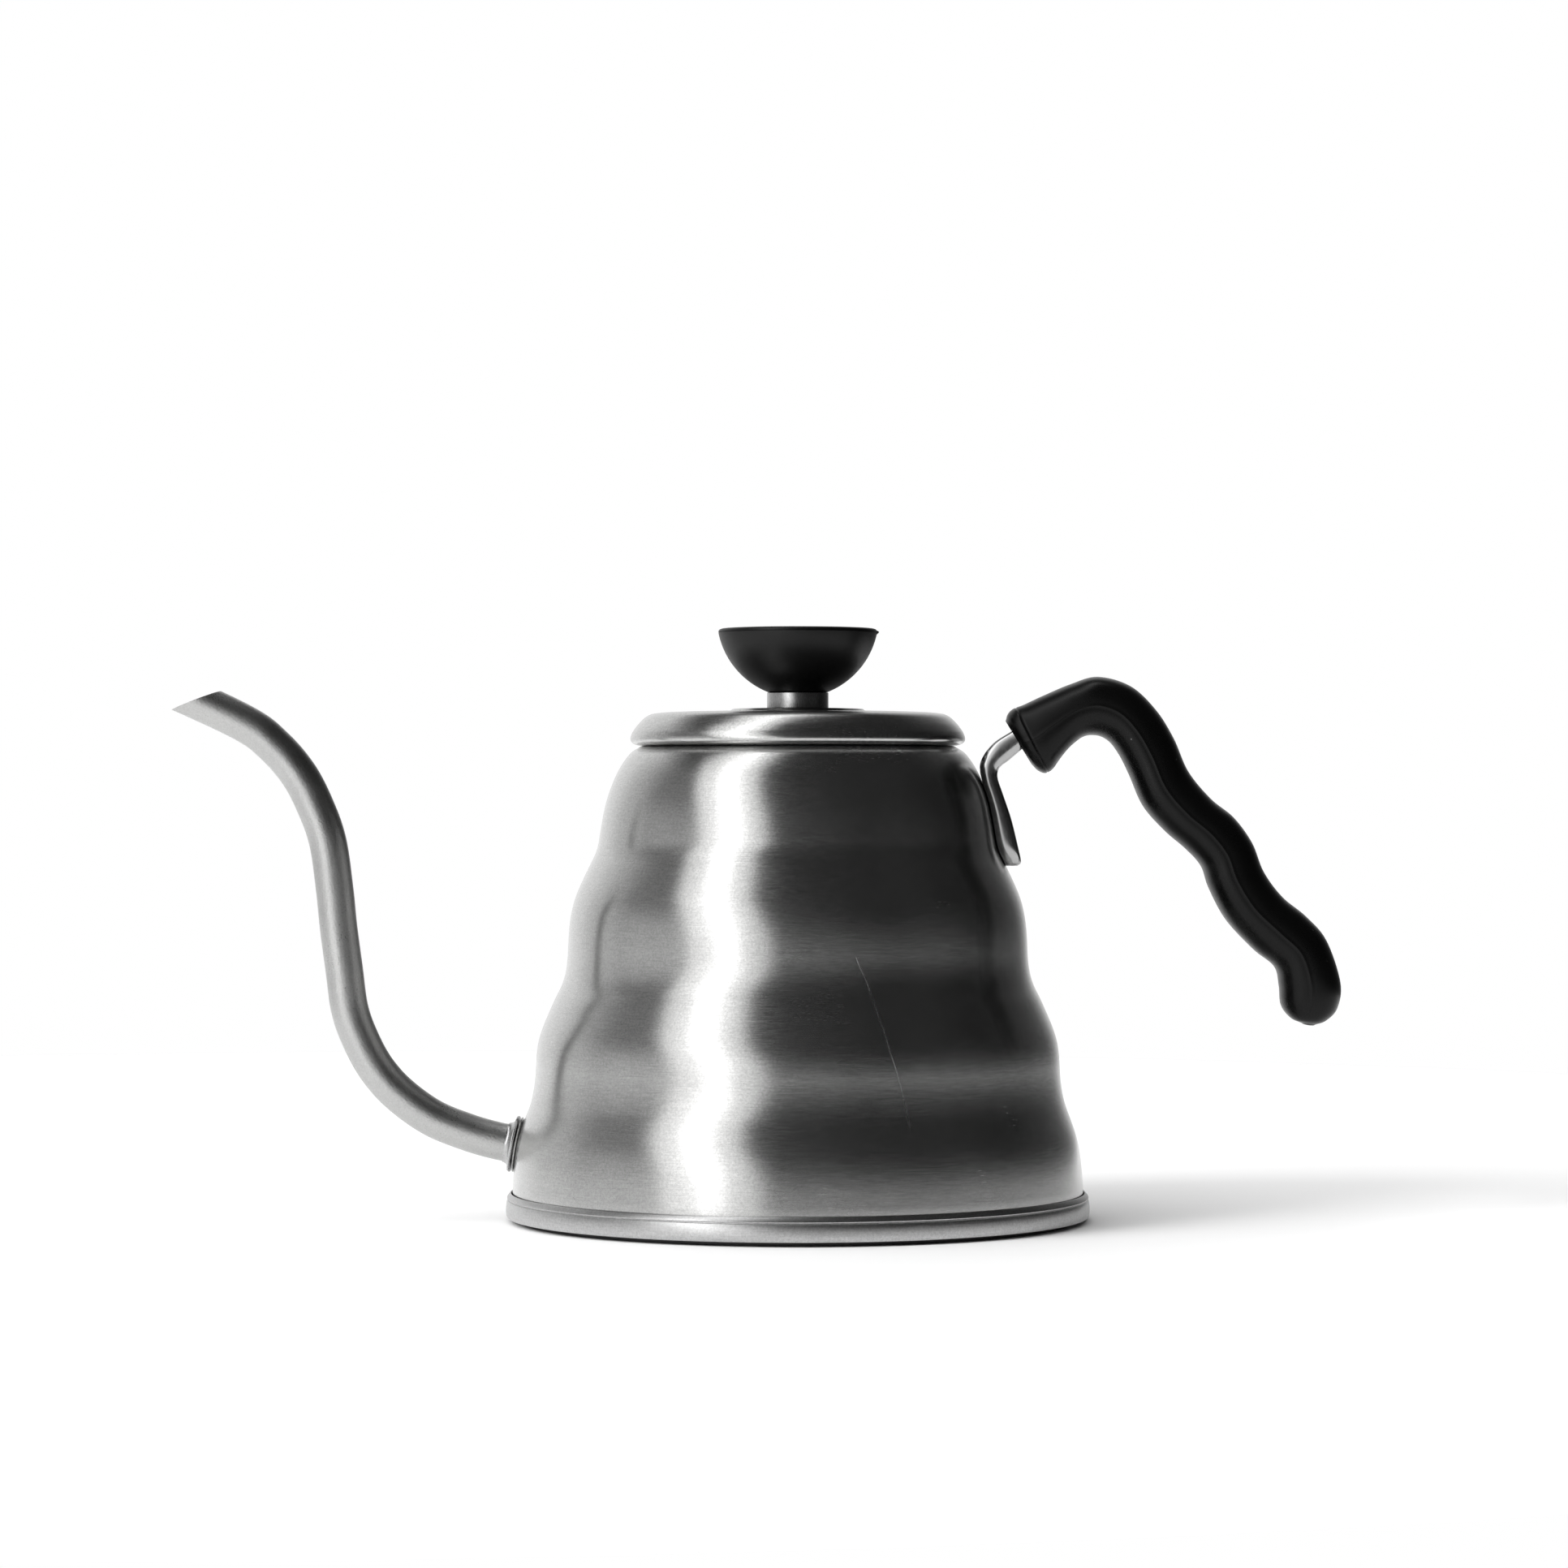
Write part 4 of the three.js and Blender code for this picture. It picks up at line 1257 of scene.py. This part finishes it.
def stage_floor():
    """A round pale table top, wider than any view of the kettle."""
    material, tree, bsdf = new_material("floor_paint")
    fill(tree, bsdf, Roughness=0.8, Specular_IOR_Level=0.1)
    tone = noise(tree, scale=3, detail=3)
    fill(tree, bsdf, Base_Color=mix_colour(tree, tone, *FLOOR_GREYS))
    corners = 96
    points = []
    for angle in angles_round(corners):
        x = FLOOR_CENTRE[0] + FLOOR_RADIUS * math.cos(angle)
        y = FLOOR_CENTRE[1] + FLOOR_RADIUS * math.sin(angle)
        points.append((x, y, 0))
    floor = make_object("floor", points, [tuple(range(corners))], material)


# Brightness of the studio walls, by the direction in degrees from the camera's side: negative to the left.
# A white wall stands behind the kettle, and the room is dark to the right of the camera.
STUDIO_WALLS = [
    (-180, 1),
    (-140, 1),
    (-113, 0.6),
    (-97, 0.3),
    (-60, 0.28),
    (-40, 0.22),
    (-20, 0.13),
    (0, 0.085),
    (20, 0.06),
    (45, 0.04),
    (70, 0.045),
    (98, 0.03),
    (120, 0.05),
    (135, 0.09),
    (148, 0.15),
    (158, 0.35),
    (168, 0.7),
    (180, 1),
]
# A paler skirting on the left, below the height where the walls get dark.
SKIRTING = [
    (-180, 0),
    (-125, 0),
    (-105, 0.25),
    (-85, 0.36),
    (-30, 0.3),
    (-5, 0.08),
    (30, 0.015),
    (70, 0.01),
    (100, 0),
    (180, 0),
]
# Brightness across the window strip, which runs from the left of the camera up and over the kettle. Places
# are sines of the angle to the strip's own plane.
WINDOW_STRIP = [
    (-0.43, 0),
    (-0.37, 0.25),
    (-0.32, 0.95),
    (-0.12, 1.25),
    (-0.06, 2.4),
    (0.08, 2.4),
    (0.13, 1.25),
    (0.33, 1),
    (0.38, 0.25),
    (0.43, 0),
]
STRIP_PEAK = 2.4
STRIP_REACH = 0.6
STRIP_NORMAL = (-0.852, 0.499, -0.159)
CEILING = 0.05

# Heights in the studio, as sines of the angle above level, between which each thing fades or moves.
SKIRTING_ENDS = (0.2, 0.36)
WALLS_END = (0.6, 0.78)
CEILING_STARTS = (0.5, 0.8)
STRIP_STARTS = (-0.05, 0.4)
STRIP_LEANS_LEFT = (0.1, 0.6)
STRIP_LEANS_BACK = (0.8, 0.92)
STRIP_BEHIND = (0.28, 0.42)  # how far towards the back the strip ends


def level_ramp(tree, value, levels, reach, peak=1):
    """Reads a table of (place, level) pairs at a value between minus and plus the reach."""
    ramp = add_node(tree, "ValToRGB", map_range(tree, value, (-reach, reach), (0, 1)))
    ramp.color_ramp.interpolation = "LINEAR"
    elements = ramp.color_ramp.elements
    while len(elements) > 1:
        elements.remove(elements[-1])
    for i, (at, level) in enumerate(levels):
        position = (at + reach) / (2 * reach)
        element = elements[0] if i == 0 else elements.new(position)
        element.position = position
        element.color = (*[level / peak] * 3, 1)
    return times(tree, ramp.outputs[0], peak)


def studio_walls(tree, x, y, z):
    """Brightness of the walls, their skirting and the ceiling in a direction."""
    angle = math_node(tree, "ARCTAN2", x, times(tree, y, -1))
    walls, skirting = (
        level_ramp(tree, angle, [(math.radians(d), v) for d, v in table], math.pi)
        for table in (STUDIO_WALLS, SKIRTING)
    )
    walls = times(tree, walls, map_range(tree, z, WALLS_END, (1, 0.12)))
    skirting = times(tree, skirting, map_range(tree, z, SKIRTING_ENDS, (1, 0)))
    ceiling = map_range(tree, z, CEILING_STARTS, (0, CEILING))
    return plus(tree, plus(tree, walls, skirting), ceiling)


def window_strip(tree, direction, y, z):
    """Brightness of the window strip in a direction. It leans as it rises, and narrows overhead."""
    across = add_node(tree, "VectorMath", direction, STRIP_NORMAL)
    across.operation = "DOT_PRODUCT"
    left = map_range(tree, z, STRIP_LEANS_LEFT, (0, 0.12))
    back = map_range(tree, z, STRIP_LEANS_BACK, (0, 0.09))
    moved = minus(tree, across.outputs["Value"], minus(tree, left, back))
    height_cubed = math_node(tree, "POWER", math_node(tree, "MAXIMUM", z, 0), 3)
    narrowing = map_range(tree, height_cubed, (0, 1), (1, 0.45))
    at = math_node(tree, "DIVIDE", moved, narrowing)
    strip = level_ramp(tree, at, WINDOW_STRIP, STRIP_REACH, STRIP_PEAK)
    strip = times(tree, strip, map_range(tree, z, STRIP_STARTS, (0.7, 1)))
    return times(tree, strip, map_range(tree, y, STRIP_BEHIND, (1, 0)))


def studio_world():
    """The studio that the kettle reflects. The camera itself sees plain white."""
    world = bpy.data.worlds.new("studio")
    bpy.context.scene.world = world
    world.use_nodes = True
    tree = world.node_tree
    direction = add_node(tree, "TexCoord").outputs["Generated"]
    x, y, z = split(tree, direction)
    level = plus(tree, studio_walls(tree, x, y, z), window_strip(tree, direction, y, z))
    seen = add_node(tree, "LightPath").outputs["Is Camera Ray"]
    lamp = times(tree, level, minus(tree, 1, seen))
    fill(tree, tree.nodes["Background"], Color=(1, 1, 1, 1), Strength=plus(tree, lamp, seen))


def soft_sun(name, azimuth, elevation, width, strength):
    """A broad distant light that casts the soft shadow, without a reflection of its own."""
    data = bpy.data.lights.new(name, "SUN")
    data.angle = math.radians(width)
    data.energy = strength
    lamp = bpy.data.objects.new(name, data)
    a, e = math.radians(azimuth), math.radians(elevation)
    towards = Vector((math.sin(a) * math.cos(e), -math.cos(a) * math.cos(e), math.sin(e)))
    lamp.rotation_euler = towards.to_track_quat("Z", "Y").to_euler()
    lamp.visible_camera = False
    lamp.visible_glossy = False
    bpy.context.scene.collection.objects.link(lamp)


CAMERA_DISTANCE = 1167
CAMERA_TURN = math.radians(3)
CAMERA_SIDE = 3.4  # how far the kettle's axis stands to the right of the picture's middle line
CAMERA_HEIGHT = 107.6
CAMERA_LENS = 108.4
CAMERA_SENSOR = 36
DISPLAY_GAMMA = 0.8  # the contrast of the high-key photograph


def photo_camera():
    """A level camera in front of the kettle, turned a little to its right."""
    data = bpy.data.cameras.new("camera")
    data.sensor_width = CAMERA_SENSOR
    data.lens = CAMERA_LENS
    data.clip_end = 50
    camera = bpy.data.objects.new("camera", data)
    cos, sin = math.cos(CAMERA_TURN), math.sin(CAMERA_TURN)
    x = -CAMERA_SIDE * cos + CAMERA_DISTANCE * sin
    y = -CAMERA_SIDE * sin - CAMERA_DISTANCE * cos
    camera.location = (x * MM, y * MM, CAMERA_HEIGHT * MM)
    camera.rotation_euler = (math.pi / 2, 0, CAMERA_TURN)
    bpy.context.scene.collection.objects.link(camera)
    bpy.context.scene.camera = camera


stage_floor()
studio_world()
soft_sun("window_light", azimuth=-54, elevation=28, width=24, strength=1.5)
soft_sun("ceiling_light", azimuth=0, elevation=88, width=100, strength=1.6)
photo_camera()
bpy.context.scene.view_settings.view_transform = "Standard"
bpy.context.scene.view_settings.gamma = DISPLAY_GAMMA
